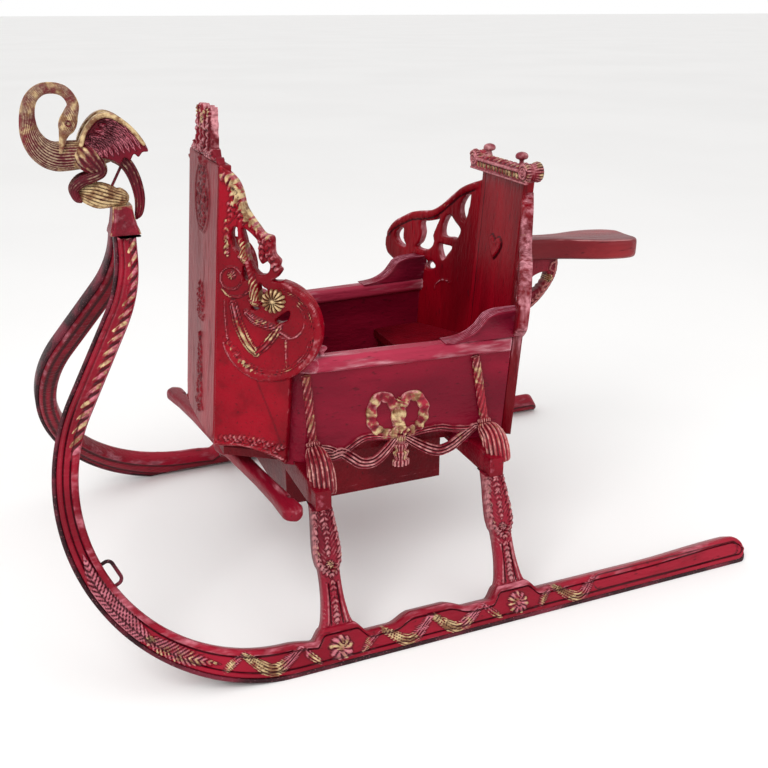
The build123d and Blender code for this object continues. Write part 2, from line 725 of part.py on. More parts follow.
capital_top = capital_base + CAPITAL_HEIGHT
with BuildPart() as capital_knobs:
    knob_x = capital_front - CAPITAL_DEPTH / 2
    # Columns: share of the height, share of the radius.
    shape = ((0, 0.75), (0.3, 0.45), (0.5, 0.5), (0.72, 1), (1, 0.55))
    stations = [(h * KNOB_HEIGHT, r * KNOB_RADIUS) for h, r in shape]
    for knob_y in (KNOB_SPACING / 2, -KNOB_SPACING / 2):
        turned(Vector(knob_x, knob_y, capital_top), Vector(0, 0, 1), stations)

# Driver's saddle behind the back, on a pierced console.
saddle_front_x = back_x - BACK_RAKE * SADDLE_RISE / BACK_HEIGHT - BACK_THICK
SADDLE_FACE = Plane(
    origin=(saddle_front_x - SADDLE_LENGTH, 0, saddle_top),
    x_dir=(cos(radians(SADDLE_SLOPE)), 0, sin(radians(SADDLE_SLOPE))),
    z_dir=(-sin(radians(SADDLE_SLOPE)), 0, cos(radians(SADDLE_SLOPE))),
)
BACK_REAR = BACK_FACE.offset(-BACK_THICK)

with BuildPart() as saddle:
    with BuildSketch(SADDLE_FACE):
        with BuildLine():
            nose = SADDLE_LENGTH * 1.2
            ThreePointArc((SADDLE_CORNER, -SADDLE_HALF), (0, 0), (SADDLE_CORNER, SADDLE_HALF))
            for sign in (1, -1):
                corner = (SADDLE_CORNER, sign * SADDLE_HALF)
                hip = (SADDLE_LENGTH * 0.36, sign * SADDLE_HALF * 0.86)
                waist = (SADDLE_LENGTH * 0.62, sign * SADDLE_NECK / 2)
                ThreePointArc(corner, hip, waist)
                Line(waist, (nose, sign * SADDLE_NECK / 2))
            Line((nose, SADDLE_NECK / 2), (nose, -SADDLE_NECK / 2))
        make_face()
    extrude(amount=-SADDLE_THICK)
    split(bisect_by=BACK_REAR, keep=Keep.BOTTOM)
    top_edges = saddle.faces().sort_by(Axis.Z)[-1].edges()
    fillet(top_edges.filter_by(GeomType.LINE, reverse=True), SADDLE_THICK * 0.25)

bracket_foot = saddle_top - BRACKET_DROP
saddle_under = SADDLE_FACE.offset(-SADDLE_THICK)


def bracket_point(a, b):
    """Spot on the bracket's side: share of the reach behind the back, share of the drop above the foot."""
    return (saddle_front_x - a * BRACKET_REACH, bracket_foot + b * BRACKET_DROP)


with BuildPart() as saddle_bracket:
    with BuildSketch(Plane.XZ.offset(-BRACKET_THICK / 2)):
        with BuildLine():
            # Columns: share of the reach, share of the drop above the foot.
            shares = (
                (1, 0.8), (1, 1), (-0.4, 1), (-0.4, 0), (0, 0), (0.39, 0.07), (0.32, 0.195), (0.8, 0.44),
                (1, 0.8),
            )
            spots = [bracket_point(a, b) for a, b in shares]
            Polyline(*spots[:5])
            ThreePointArc(*spots[4:7])
            ThreePointArc(*spots[6:9])
        make_face()
        with BuildLine():
            ThreePointArc(*[bracket_point(a, b) for a, b in ((0.24, 0.38), (0.455, 0.63), (0.8, 0.664))])
            ThreePointArc(*[bracket_point(a, b) for a, b in ((0.8, 0.664), (0.68, 0.5), (0.24, 0.38))])
        make_face(mode=Mode.SUBTRACT)
    extrude(amount=BRACKET_THICK)
    split(bisect_by=saddle_under, keep=Keep.BOTTOM)
    split(bisect_by=BACK_REAR, keep=Keep.BOTTOM)

# Carved side ornaments: ribbon bow, crossing festoon with a tassel, rope drops with tassels.
with BuildPart() as side_bow:
    with BuildSketch(SIDE_FACE):
        for sign in (1, -1):
            loop_middle = (side_middle + sign * (BOW_HALF + RIBBON / 4), bow_rise)
            with Locations(Location(loop_middle, -sign * BOW_TURN)):
                Ellipse(BOW_HALF + RIBBON / 2, BOW_TALL + RIBBON / 2)
                Ellipse(BOW_HALF - RIBBON / 2, BOW_TALL - RIBBON / 2, mode=Mode.SUBTRACT)
        with Locations((side_middle, bow_rise - BOW_TALL)):
            Circle(RIBBON)
    extrude(amount=-RIBBON_PROUD)

with BuildPart() as side_festoon:
    with BuildSketch(SIDE_FACE):
        for band in [*festoon_eyes[0], *festoon_eyes[1], *festoon_tails]:
            SlotArc(arc=band, height=RIBBON)
        with Locations((side_middle, festoon_rise - TASSEL_LENGTH / 2)):
            Trapezoid(TASSEL_WIDTH, TASSEL_LENGTH, 82)
        with Locations((side_middle, festoon_rise)):
            Circle(RIBBON)
    extrude(amount=-RIBBON_PROUD)


def rope_drop(bolster_x, rope_lean, bolster):
    """Leaning rope on the side board above a bolster, ending in a flared tassel over the bolster's end."""
    def rope_at(share):
        """Middle of the rope at a share of the way up from the body's base to the rail."""
        x = bolster_x - ROPE_SETBACK + share * rope_lean
        face_y = SIDE_REAR_Y + (x - side_rear_x) * side_along.Y / side_along.X
        return Vector(x, face_y + ROPE / 4, BODY_BASE + share * (rail_base - BODY_BASE))

    bolster_end = TRACK / 2 - BODY_BASE * tan(lean)
    rope_foot = rope_at(-0.1)
    rope_run = rope_at(1.1) - rope_foot
    top = rope_at(TASSEL_FALL / (rail_base - BODY_BASE))
    fall = Vector(bolster_x - ROPE_SETBACK / 2, bolster_end - TASSEL_INSET, BODY_BASE) - top
    with BuildPart() as drop:
        turned(rope_foot, rope_run.normalized(), [(0, ROPE / 2), (rope_run.length, ROPE / 2)])
        split(bisect_by=Plane.XY.offset(rail_base), keep=Keep.BOTTOM)
        split(bisect_by=Plane.XY.offset(BODY_BASE), keep=Keep.TOP)
        # Columns: share of the way, share of the bolster's half width.
        shape = ((0, 0.45), (0.35, 0.6), (0.7, 0.85), (1, 0.98))
        turned(top, fall.normalized(), [(t * fall.length, r * BOLSTER_WIDTH / 2) for t, r in shape])
        for board in (bolster, side_panel, front_wing):
            add(board.part, mode=Mode.SUBTRACT)
    return drop


rope_front = rope_drop(post_front_x - head_shift, ROPE_FRONT_LEAN, bolster_front)
rope_rear = rope_drop(post_rear_x - head_shift, ROPE_REAR_LEAN, bolster_rear)

# Swingletree: notched bar that swings on a shouldered pin under the floor.
tree_x = front_base_x - TREE_SETBACK
tree_top = tree_base + TREE_THICK
tree_ahead = Vector(1, 0, 0).rotate(Axis.Z, TREE_SKEW)
with BuildPart() as swingletree:
    with BuildSketch(Plane(origin=(tree_x, 0, tree_base), x_dir=tree_ahead, z_dir=(0, 0, 1))):
        Circle(TREE_WAIST * 1.5)
        for sign in (1, -1):
            tip = sign * TREE_HALF
            with BuildLine():
                # Columns: ahead, share of the half length.
                bar = (
                    (TREE_WAIST, 0), (TREE_WAIST * 0.8, 0.55), (TREE_END_RADIUS, 1),
                    (-TREE_END_RADIUS, 1), (-TREE_WAIST, 0.55), (-TREE_WAIST, 0),
                )
                Polyline(*[(ahead, share * tip) for ahead, share in bar], close=True)
            make_face()
            with Locations((0, tip)):
                Circle(TREE_END_RADIUS)
            with Locations((-TREE_END_RADIUS, tip * 0.9)):
                Circle(TREE_NOTCH, mode=Mode.SUBTRACT)
        Circle(PIN_RADIUS + PIN_PLAY, mode=Mode.SUBTRACT)
    extrude(amount=TREE_THICK)

with BuildPart() as swingletree_pin:
    # Columns: from, to, radius.
    for low, high, radius in (
        (tree_base - TREE_GAP - PIN_RADIUS, tree_base - TREE_GAP, PIN_COLLAR),
        (tree_base - TREE_GAP, tree_top + TREE_GAP, PIN_RADIUS),
        (tree_top + TREE_GAP, BODY_BASE, PIN_COLLAR),
    ):
        with Locations((tree_x, 0, low)):
            Cylinder(radius, high - low, align=LOW)

# Tow staple on the back edge of each horn.
STAPLE_FACE = RUNNER_FACE.offset(PLANK / 2)
staple_angle = radians(STAPLE_TURN)
back_centre = Vector(bend_x + BEND_DEPTH - BELLY_WIDTH, HORN_RADIUS)
back_radius = HORN_RADIUS - BEND_DEPTH
with BuildPart() as tow_staple:
    out = Vector(sin(staple_angle), -cos(staple_angle))
    along = Vector(cos(staple_angle), sin(staple_angle))
    seat = back_centre + out * back_radius
    with BuildLine(STAPLE_FACE) as staple_path:
        # Columns: end, distance out of the horn's edge.
        bends = ((-1, 0), (-1, -STAPLE_STAND), (1, -STAPLE_STAND), (1, 0))
        legs = [seat + along * (sign * STAPLE_SPAN / 2) + out * depth for sign, depth in bends]
        FilletPolyline(*[(p.X, p.Y) for p in legs], radius=STAPLE_WIRE * 1.5)
    with BuildSketch(Plane(origin=staple_path.line @ 0, z_dir=staple_path.line % 0)):
        Circle(STAPLE_WIRE / 2)
    sweep()
    add(runner.part, mode=Mode.SUBTRACT)

# Block that ties both horns, and the gadrooned bud on it.
tip_x = runner.faces().sort_by(Axis.Z)[-1].center().X
block_top = HORN_TOP + BLOCK_HEIGHT
block_half = HORN_HALF + BLOCK_LIP
with BuildPart() as horn_block:
    # Columns: level, length, half width.
    for level, long, half in (
        (HORN_TOP, BLOCK_LENGTH, block_half),
        (block_top, BLOCK_TOP_LENGTH, BLOCK_TOP_HALF),
    ):
        with BuildSketch(Plane.XY.offset(level)):
            with Locations((tip_x, 0)):
                Rectangle(long, 2 * half)
    loft()

bud_middle = tip_x + BUD_FORWARD
bud_level = block_top + BUD_RADIUS * 0.8
with BuildPart() as bud:
    # Columns: share of the length, share of the radius.
    shape = ((-0.5, 0.45), (-0.25, 0.8), (0.05, 1), (0.3, 0.8), (0.5, 0.25))
    stations = [(t * BUD_LENGTH, r * BUD_RADIUS) for t, r in shape]
    turned(Vector(bud_middle, 0, bud_level), Vector(1, 0, 0), stations)
    split(bisect_by=Plane.XY.offset(block_top), keep=Keep.TOP)

# Swan: looped neck and head, body with legs on the bud, raised wings and hanging tail.
bird_x = tip_x + BIRD_AHEAD
loop_rise = block_top + LOOP_LIFT
body_rise = block_top + BODY_LIFT
LOOP_FACE = Plane(origin=(bird_x, 0, loop_rise), x_dir=(1, 0, 0), z_dir=(0, -1, 0))
with BuildPart() as bird_body:
    with BuildLine(LOOP_FACE) as neck:
        EllipticalCenterArc((0, 0), LOOP_RADIUS, LOOP_TALL, NECK_START, arc_size=NECK_SWEEP)
    with BuildSketch(Plane(origin=neck.line @ 0, z_dir=neck.line % 0)) as neck_root:
        Circle(NECK_ROOT)
    with BuildSketch(Plane(origin=neck.line @ 1, z_dir=neck.line % 1)) as neck_end:
        Circle(NECK_RADIUS)
    sweep(sections=[neck_root.sketch, neck_end.sketch], path=neck.line, multisection=True)
    # Head and bill. Columns: share of the length, share of the radius.
    head_at = neck.line @ 1
    head_line = Vector(-0.1, 0, -1).normalized()
    head_shape = ((-0.3, 0.6), (0.05, 1), (0.4, 0.5), (1, 0.15))
    turned(head_at, head_line, [(t * HEAD_LENGTH, r * HEAD_RADIUS) for t, r in head_shape])
    # Breast and body. Columns: share of the length, share of the girth.
    breast = Vector(bird_x, 0, loop_rise - LOOP_TALL - NECK_ROOT * 0.4)
    rump = Vector(tip_x, 0, body_rise)
    body_line = (rump - breast).normalized()
    body_long = (rump - breast).length
    body_shape = ((-0.2, 0.4), (0, 0.8), (0.35, 1), (0.75, 0.7), (1, 0.3))
    turned(breast, body_line, [(t * body_long, r * BIRD_GIRTH) for t, r in body_shape])
    # Legs: thick thighs back from the body to the knee, shins forward onto the bud.
    for sign in (1, -1):
        hip = breast + body_line * body_long * 0.4 + Vector(0, sign * BIRD_GIRTH * 0.4, 0)
        knee = Vector(bud_middle + BUD_LENGTH * 0.18, sign * BIRD_GIRTH * 0.5, bud_level + BUD_RADIUS * 2)
        claw = Vector(bud_middle + BUD_LENGTH * 0.4, sign * BUD_RADIUS * 0.4, bud_level)
        # Columns: from, to, radius at both ends as shares of the leg's.
        for start, end, first, last in ((hip, knee, 1.6, 1), (knee, claw, 1, 0.8)):
            way = end - start
            turned(start, way.normalized(), [(0, first * LEG_RADIUS), (way.length, last * LEG_RADIUS)])
        with Locations(knee):
            Sphere(LEG_RADIUS)
    add(bud.part, mode=Mode.SUBTRACT)

shoulder = breast + body_line * body_long * 0.3
with BuildPart() as bird_wing:
    with BuildSketch(Plane.XZ.offset(-BIRD_GIRTH * 0.75)):
        with BuildLine():
            # Columns: share of the span ahead of the shoulder, share of the raise above it.
            shares = (
                (0.06, 0.08), (-0.04, 0.72), (-0.32, 1), (-0.7, 0.68), (-0.93, -0.2), (-0.66, -0.02),
                (-0.5, -0.18),
            )
            spots = [(shoulder.X + a * WING_SPAN, shoulder.Z + b * WING_RAISE) for a, b in shares]
            for first in (0, 2, 4):
                ThreePointArc(*spots[first:first + 3])
            Line(spots[6], spots[0])
        make_face()
    extrude(amount=-FEATHER_THICK)
    add(bird_body.part, mode=Mode.SUBTRACT)

with BuildPart() as bird_tail:
    with BuildSketch(Plane.XZ.offset(-TAIL_HALF)):
        with BuildLine():
            tail_foot = HORN_TOP + BLOCK_HEIGHT * 0.4
            # Columns: share of the depth behind the horn tips, share of the way from foot to rump.
            shares = ((0.35, 1.08), (1, 0.52), (0.84, 0))
            outer = [(tip_x - a * TAIL_DEPTH, tail_foot + b * (body_rise - tail_foot)) for a, b in shares]
            inner = [(x + TAIL_THICK, z) for x, z in outer]
            rump_end = (tip_x + TAIL_THICK, outer[0][1])
            ThreePointArc(*outer)
            Line(outer[2], inner[2])
            ThreePointArc(inner[2], inner[1], (tip_x + TAIL_THICK, body_rise))
            Polyline((tip_x + TAIL_THICK, body_rise), rump_end, outer[0])
        make_face()
    extrude(amount=2 * TAIL_HALF)
    for neighbour in (bird_body, horn_block, bud):
        add(neighbour.part, mode=Mode.SUBTRACT)

# Every piece is written under its own name; paired pieces once for each side.
os.makedirs("parts", exist_ok=True)
single = {
    "bolster_rear": bolster_rear, "front_panel": front_panel, "front_crest": front_crest,
    "back_panel": back_panel, "back_capital": back_capital, "capital_knobs": capital_knobs,
    "body_floor": body_floor,
    "footwell_floor": footwell_floor, "footwell_front": footwell_front, "footwell_rear": footwell_rear,
    "seat_riser": seat_riser, "seat_board": seat_board, "saddle": saddle, "saddle_bracket": saddle_bracket,
    "swingletree": swingletree, "swingletree_pin": swingletree_pin, "horn_block": horn_block, "bud": bud,
    "bird_body": bird_body, "bird_tail": bird_tail,
}
paired = {
    "runner": runner, "runner_iron": runner_iron, "post_front": post_front, "post_rear": post_rear,
    "bolster_front": bolster_front, "front_wing": front_wing, "wing_rosette": wing_rosette,
    "rear_wing": rear_wing, "side_panel": side_panel, "side_rail": side_rail, "arm_scroll": arm_scroll,
    "rail_knob": rail_knob, "footwell_side": footwell_side, "side_bow": side_bow,
    "side_festoon": side_festoon, "rope_front": rope_front, "rope_rear": rope_rear, "tow_staple": tow_staple,
    "bird_wing": bird_wing,
}
pieces = {name: piece.part for name, piece in single.items()}
for name, piece in paired.items():
    pieces[name + "_left"] = piece.part
    pieces[name + "_right"] = mirror(piece.part, about=Plane.XZ, mode=Mode.PRIVATE)
for name, part in pieces.items():
    part.label = name
    export_step(part, f"parts/{name}.step")
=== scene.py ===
import bpy
import numpy as np
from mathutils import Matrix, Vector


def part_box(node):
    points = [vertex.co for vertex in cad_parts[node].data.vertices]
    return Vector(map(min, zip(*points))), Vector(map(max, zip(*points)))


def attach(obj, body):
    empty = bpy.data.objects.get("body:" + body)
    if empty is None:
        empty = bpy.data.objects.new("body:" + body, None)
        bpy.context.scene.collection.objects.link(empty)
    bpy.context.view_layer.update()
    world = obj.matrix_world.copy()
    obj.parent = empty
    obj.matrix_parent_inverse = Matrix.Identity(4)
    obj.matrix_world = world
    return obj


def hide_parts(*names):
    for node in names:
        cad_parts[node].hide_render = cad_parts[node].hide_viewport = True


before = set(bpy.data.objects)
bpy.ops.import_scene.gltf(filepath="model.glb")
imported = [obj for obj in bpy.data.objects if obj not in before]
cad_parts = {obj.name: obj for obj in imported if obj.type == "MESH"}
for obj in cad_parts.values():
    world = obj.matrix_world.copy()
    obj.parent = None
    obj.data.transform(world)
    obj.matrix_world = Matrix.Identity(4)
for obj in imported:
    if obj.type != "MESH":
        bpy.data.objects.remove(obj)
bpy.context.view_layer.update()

# Tow staples: bent iron loops driven into the back edges of the horns.
# Forged iron, blackened, and rubbed to a brownish red where paint has run over it.


def srgb(red, green, blue):
    """Screen colour, 0 to 255 for each channel, as the linear colour that a shader takes."""
    share = np.array([red, green, blue]) / 255
    return (*np.where(share <= 0.04045, share / 12.92, ((share + 0.055) / 1.055) ** 2.4), 1.0)


class Nodes:
    """Node tree of a material or a world, with short calls for its nodes and sockets."""

    def __init__(self, owner):
        owner.use_nodes = True
        self.tree = owner.node_tree

    def feed(self, node, **inputs):
        """Links outputs to sockets or sets plain values: _ and a number, or a name with _ for each space."""
        for name, value in inputs.items():
            socket = node.inputs[int(name[1:]) if name[0] == "_" else name.replace("_", " ")]
            if isinstance(value, bpy.types.NodeSocket):
                self.tree.links.new(value, socket)
            else:
                socket.default_value = value

    def node(self, kind, settings=(), **inputs):
        """New node of a kind, with its settings and inputs."""
        made = self.tree.nodes.new(kind)
        for name, value in dict(settings).items():
            setattr(made, name, value)
        self.feed(made, **inputs)
        return made


class Finish(Nodes):
    """Material of one finish, with the patterns and mixes that the finishes share."""

    def __init__(self, name):
        self.material = bpy.data.materials.new(name)
        super().__init__(self.material)
        self.shader = self.tree.nodes["Principled BSDF"]
        self.place = self.node("ShaderNodeTexCoord").outputs["Object"]

    def noise(self, scale, stretch=(1, 1, 1), detail=4):
        """Cloudy pattern fixed to the piece; stretch above 1 makes it finer along that axis."""
        spot = self.node("ShaderNodeMapping", Vector=self.place, Scale=stretch).outputs[0]
        return self.node("ShaderNodeTexNoise", Vector=spot, Scale=scale, Detail=detail).outputs[0]

    def attribute(self, name):
        """Share painted on the piece's points, zero where the piece has none."""
        return self.node("ShaderNodeAttribute", {"attribute_name": name}).outputs["Fac"]

    def sum(self, first, *terms):
        """First plus every term, each given as a value and its factor."""
        for value, factor in terms:
            made = self.node("ShaderNodeMath", {"operation": "MULTIPLY_ADD"}, _0=value, _1=factor, _2=first)
            first = made.outputs[0]
        return first

    def rise(self, value, low, high, start=0.0, end=1.0):
        """Smooth step of a value from start to end between low and high."""
        return self.node(
            "ShaderNodeMapRange", {"interpolation_type": "SMOOTHSTEP"},
            Value=value, From_Min=low, From_Max=high, To_Min=start, To_Max=end,
        ).outputs[0]

    def mix(self, share, first, second):
        """Colour between two, by share; each is an output or a screen colour of three numbers."""
        first, second = (srgb(*tone) if isinstance(tone, tuple) else tone for tone in (first, second))
        return self.node("ShaderNodeMix", {"data_type": "RGBA"}, _0=share, _6=first, _7=second).outputs[2]

    def edges(self, radius):
        """Near one on sharp edges of a plain board: how far the bevelled normal leaves the true one."""
        soft = self.node("ShaderNodeBevel", {"samples": 4}, Radius=radius).outputs[0]
        true = self.node("ShaderNodeNewGeometry").outputs["Normal"]
        same = self.node("ShaderNodeVectorMath", {"operation": "DOT_PRODUCT"}, _0=soft, _1=true)
        return self.rise(same.outputs["Value"], 0.985, 0.8)

    def surface(self, relief=None, depth=0.0, **inputs):
        """Feeds the shader; relief is a fine height over the surface, depth its size in metres."""
        if relief:
            inputs["Normal"] = self.node("ShaderNodeBump", Height=relief, Distance=depth).outputs[0]
        self.feed(self.shader, **inputs)
        return self.material


def forged_iron():
    """Blackened iron with cloudy rust-red smears and a hammered surface."""
    finish = Finish("black_iron")
    smear = finish.rise(finish.noise(28, (0.4, 1, 1)), 0.45, 0.68)
    grit = finish.noise(420)
    colour = finish.mix(smear, (44, 16, 22), (112, 34, 50))
    colour = finish.mix(finish.rise(grit, 0.58, 0.75), colour, (150, 96, 104))
    rough = finish.rise(grit, 0.3, 0.7, 0.35, 0.6)
    return finish.surface(
        grit, 0.0006, Base_Color=colour, Roughness=rough, Metallic=0.15, Specular_IOR_Level=0.2
    )


iron = forged_iron()


def dress(finish, *names):
    """Gives CAD nodes that stay as they are their finish."""
    for name in names:
        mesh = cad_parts[name].data
        mesh.materials.clear()
        mesh.materials.append(finish)


dress(iron, "tow_staple_left", "tow_staple_right")

# Runners: each side's foot and horn is one carved plank, bent up at the front and leaning inwards.
# Painted wood; beads along both edges, swags, rosettes and leaves carved on the outer face, part gilded.
# The posts stand in its upper edge, and the block ties its tip to the other one.
MM = 0.001


def box_mm(node):
    """Lowest and highest corner of a CAD node, in millimetres."""
    return np.array([corner[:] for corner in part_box(node)]) / MM


def painted(name, coat, deep, worn, rub=-0.05, rough=0.36, grain=(1, 1, 1), edge=0.0):
    """Old paint on wood: a clouded coat, rubbed to a pale tone on crests and in flecks, with painted shade
    in hollows and random dark patches, and patchy gold where the carver's gilding was laid on."""
    finish = Finish(name)
    cloud, streak = (finish.noise(scale, grain, 6) for scale in (9, 34))
    fleck = finish.noise(230, grain, 3)
    patch = finish.noise(95, grain, 8)
    colour = finish.mix(finish.rise(cloud, 0.35, 0.65), deep, coat)
    colour = finish.mix(finish.rise(streak, 0.52, 0.7, 0.0, 0.6), colour, deep)
    colour = finish.mix(finish.rise(fleck, 0.62, 0.72, 0.0, 0.55), colour, (52, 8, 16))
    tired = finish.sum(finish.attribute("worn"), (streak, 1.5), (patch, 1.6), (1.0, rub - 1.75))
    if edge:
        tired = finish.sum(tired, (finish.edges(edge), 0.55))
    tired = finish.rise(tired, 0.3, 0.95)
    pale = finish.mix(finish.rise(fleck, 0.35, 0.65), worn, finish.mix(0.55, worn, deep))
    colour = finish.mix(tired, colour, pale)
    gold = finish.rise(finish.noise(90, detail=6), 0.38, 0.62)
    gold = finish.mix(gold, (132, 92, 64), (214, 186, 140))
    laid = finish.sum(finish.attribute("gilt"), (finish.noise(70, detail=6), 1.1), (1.0, -0.55))
    laid = finish.rise(laid, 0.3, 0.5)
    colour = finish.mix(laid, colour, gold)
    # Painted shade: the deep share of recesses, grooves and undersides, plus random dark patches, turns the
    # colour dark.
    painted_shade = finish.rise(finish.sum(finish.attribute("deep"), (patch, 0.5)), 0.3, 1.1, 0.0, 0.9)
    return finish.surface(
        finish.sum(fleck, (patch, 1.2)), 0.0012,
        Base_Color=finish.mix(painted_shade, colour, (50, 8, 16)),
        Roughness=finish.rise(tired, 0, 1, rough, rough + 0.2),
        Metallic=finish.rise(laid, 0, 1, 0, 0.2),
        Specular_IOR_Level=0.16,
    )


runner_paint = painted(
    "runner_paint", (156, 20, 44), (116, 4, 26), (206, 120, 134), rub=0.06, grain=(0.35, 1, 1)
)


def smooth(share):
    """Smooth step from 0 to 1."""
    share = np.clip(share, 0, 1)
    return share * share * (3 - 2 * share)


def hump(x):
    """Parabola that is 1 at 0 and ends at -1 and 1."""
    return np.clip(1 - x**2, 0, 1)


def dome(x):
    """Half circle that is 1 at 0 and ends at -1 and 1."""
    return np.sqrt(hump(x))


def round_over(away, radius):
    """How far a round edge falls back at a distance from it: the gap between a circle and its tangent."""
    return radius - np.sqrt(radius**2 - np.clip(radius - away, 0, radius) ** 2)


def smooth_line(points, count=40, closed=False):
    """Points on the smooth curve that passes through the given ones, each stretch bent by its neighbours."""
    given = np.array(points, float)
    if closed:
        given = np.vstack([given[-1:], given, given[:2]])
    else:
        given = np.vstack([2 * given[0] - given[1], given, 2 * given[-1] - given[-2]])
    place = np.linspace(0, len(given) - 3, count, endpoint=not closed)
    first = np.minimum(place.astype(int), len(given) - 4)
    t = (place - first)[:, None]
    p0, p1, p2, p3 = (given[first + k] for k in range(4))
    square, cube = 2 * p0 - 5 * p1 + 4 * p2 - p3, 3 * p1 - p0 - 3 * p2 + p3
    return 0.5 * (2 * p1 + (p2 - p0) * t + square * t**2 + cube * t**3)


class Carving:
    """Carved face over plane points (A, B) in millimetres: height, and shares of gilding, wear and painted
    shade.
    """

    def __init__(self, A, B):
        self.A, self.B = A, B
        self.height, self.gilt, self.worn, self.deep = (np.zeros_like(A) for _ in range(4))

    def near(self, points, reach, count=40):
        """Points within reach of a curve: their mask, distance to it, share of the way along, and side."""
        line = smooth_line(points, count)
        low, high = line.min(0) - reach, line.max(0) + reach
        spots = (self.A > low[0]) & (self.A < high[0]) & (self.B > low[1]) & (self.B < high[1])
        spot = np.stack([self.A[spots], self.B[spots]], -1)
        distance = np.full(len(spot), 1e9)
        share, side = np.zeros(len(spot)), np.zeros(len(spot))
        for number, (start, end) in enumerate(zip(line[:-1], line[1:])):
            run = end - start
            t = np.clip((spot - start) @ run / (run @ run), 0, 1)
            away = spot - start - t[:, None] * run
            gap = np.hypot(away[:, 0], away[:, 1])
            closer = gap < distance
            distance[closer] = gap[closer]
            share[closer] = (number + t[closer]) / (len(line) - 1)
            side[closer] = np.sign(run[0] * away[closer, 1] - run[1] * away[closer, 0])
        return spots, distance, share, side

    def lift(self, height, gilt=0.0, worn=0.0, spots=...):
        """Raises the face, all of it or some spots, where it lies lower, and tones what was raised."""
        over = height > self.height[spots]
        for field, value in (("height", height), ("gilt", gilt), ("worn", worn)):
            whole = getattr(self, field)
            part = whole[spots]
            part[over] = (np.zeros_like(part) + value)[over]
            whole[spots] = part

    def rib(self, points, wide, rise, gilt=0.0, worn=0.3, ends=1.0, beads=0, count=40):
        """Half-round moulding along a curve; ends is its share of width there, beads cuts it into pearls."""
        spots, distance, share, _ = self.near(points, wide, count)
        half = wide / 2 * (ends + (1 - ends) * np.sin(np.pi * share))
        if beads:
            half = half * (0.55 + 0.45 * np.abs(np.sin(np.pi * beads * share)))
        crown = dome(distance / np.maximum(half, 0.01))
        self.lift(rise * crown, gilt * crown, worn * crown, spots)

    def groove(self, points, wide, depth, painted_shade=0.8, count=40):
        """Round-bottomed cut along a curve, its bottom painted darker as shade."""
        spots, distance, _, _ = self.near(points, wide, count)
        cut = dome(distance / (wide / 2))
        self.height[spots] -= depth * cut
        self.deep[spots] = np.maximum(self.deep[spots], painted_shade * cut)

    def leaf(self, points, wide, rise, lobes=5, gilt=0.4, worn=0.4, base=0.35, slant=0.9, notch=0.2):
        """Leaf along a midrib: half width swells from base and closes to a tip, scalloped into lobes; veins
        slant out from a sunk midrib."""
        spots, distance, share, _ = self.near(points, wide)
        half = wide / 2 * (base + (1 - base) * np.sin(np.pi * np.clip(share, 0, 1) ** 0.8)) * (1 - share**6)
        wave = np.cos(2 * np.pi * (lobes * share - slant * distance / wide))
        half = np.maximum(half * (1.06 - notch + notch * wave), 0.01)
        crown = dome(distance / half)
        height = rise * crown * (0.78 + 0.3 * wave) * (0.72 + 0.28 * smooth(distance / (0.12 * wide)))
        height = np.where(distance < half, height, -9)
        self.lift(height, gilt * crown * (0.6 + 0.4 * wave), worn * crown, spots)
        # Painted shade in the notches between the lobes.
        self.deep[spots] += np.where(distance < half, 0.35 * np.clip(-wave, 0, 1) * crown, 0)

    def flower(self, centre, radius, rise, petals=12, gilt=0.6, worn=0.3, twist=0.0):
        """Daisy: petals round a domed eye, each petal a ridge from the eye out."""
        a, b = self.A - centre[0], self.B - centre[1]
        spots = np.hypot(a, b) < radius * 1.05
        away = np.hypot(a[spots], b[spots]) / radius
        petal = np.abs(np.cos(petals / 2 * np.arctan2(b[spots], a[spots]) + twist * away))
        reach = 0.8 + 0.22 * petal
        body = np.where(away < reach, dome((away / reach) ** 2) * (0.55 + 0.45 * petal), 0)
        eye = dome(away / 0.3)
        height = rise * np.maximum(body * (0.55 + 0.45 * smooth(away / 0.5)), 0.95 * eye)
        self.lift(height, gilt * np.maximum(petal, eye), worn, spots)
        # Painted shade between the petals.
        self.deep[spots] += np.where(away < reach, 0.5 * (1 - petal) * smooth(away / 0.35), 0)

    def drape(self, points, wide, rise, strands=3, gilt=0.6, worn=0.4, ends=0.35):
        """Hanging cloth along a curve: bands side by side, gathered at both ends."""
        spots, distance, share, side = self.near(points, wide)
        half = wide / 2 * (ends + (1 - ends) * np.sin(np.pi * share))
        across = side * distance / np.maximum(half, 0.01)
        fold = np.abs(np.cos(np.pi * strands / 2 * (across + 1)))
        body = np.where(np.abs(across) < 1, dome(across**2), -9)
        self.lift(rise * body * (0.45 + 0.55 * fold), gilt * fold * smooth(share * 1.6), worn * fold, spots)
        # Painted shade in the folds between the bands.
        self.deep[spots] += np.where(np.abs(across) < 1, 0.5 * (1 - fold) ** 2, 0)


def gridded(points, gilt=0.0, worn=0.0, deep=0.0):
    """Closed form over a grid of points whose last column meets the first: points, faces and tones. Each
    end is closed by one many-sided face, and a tone is a number or an array that fits the grid."""
    rows, columns = points.shape[:2]
    row, column = np.arange(rows - 1)[:, None] * columns, np.arange(columns)[None, :]
    after = (column + 1) % columns
    walls = np.stack([row + column, row + after, row + columns + after, row + columns + column], -1)
    faces = [walls.reshape(-1, 4), column[:, ::-1], column + (rows - 1) * columns]
    tones = {"gilt": gilt, "worn": worn, "deep": deep}
    tones = {name: np.clip(np.zeros((rows, columns)) + tone, 0, 2).ravel() for name, tone in tones.items()}
    return points, faces, tones


def outward(points, faces):
    """The faces of a closed form, all turned round if its signed volume, summed over them, is negative."""
    volume = 0.0
    for group in faces:
        for k in range(1, group.shape[1] - 1):
            first, second, third = (points[group[:, corner]] for corner in (0, k, k + 1))
            volume += np.einsum("ij,ij->", first, np.cross(second, third))
    return [group[:, ::-1] for group in faces] if volume < 0 else faces


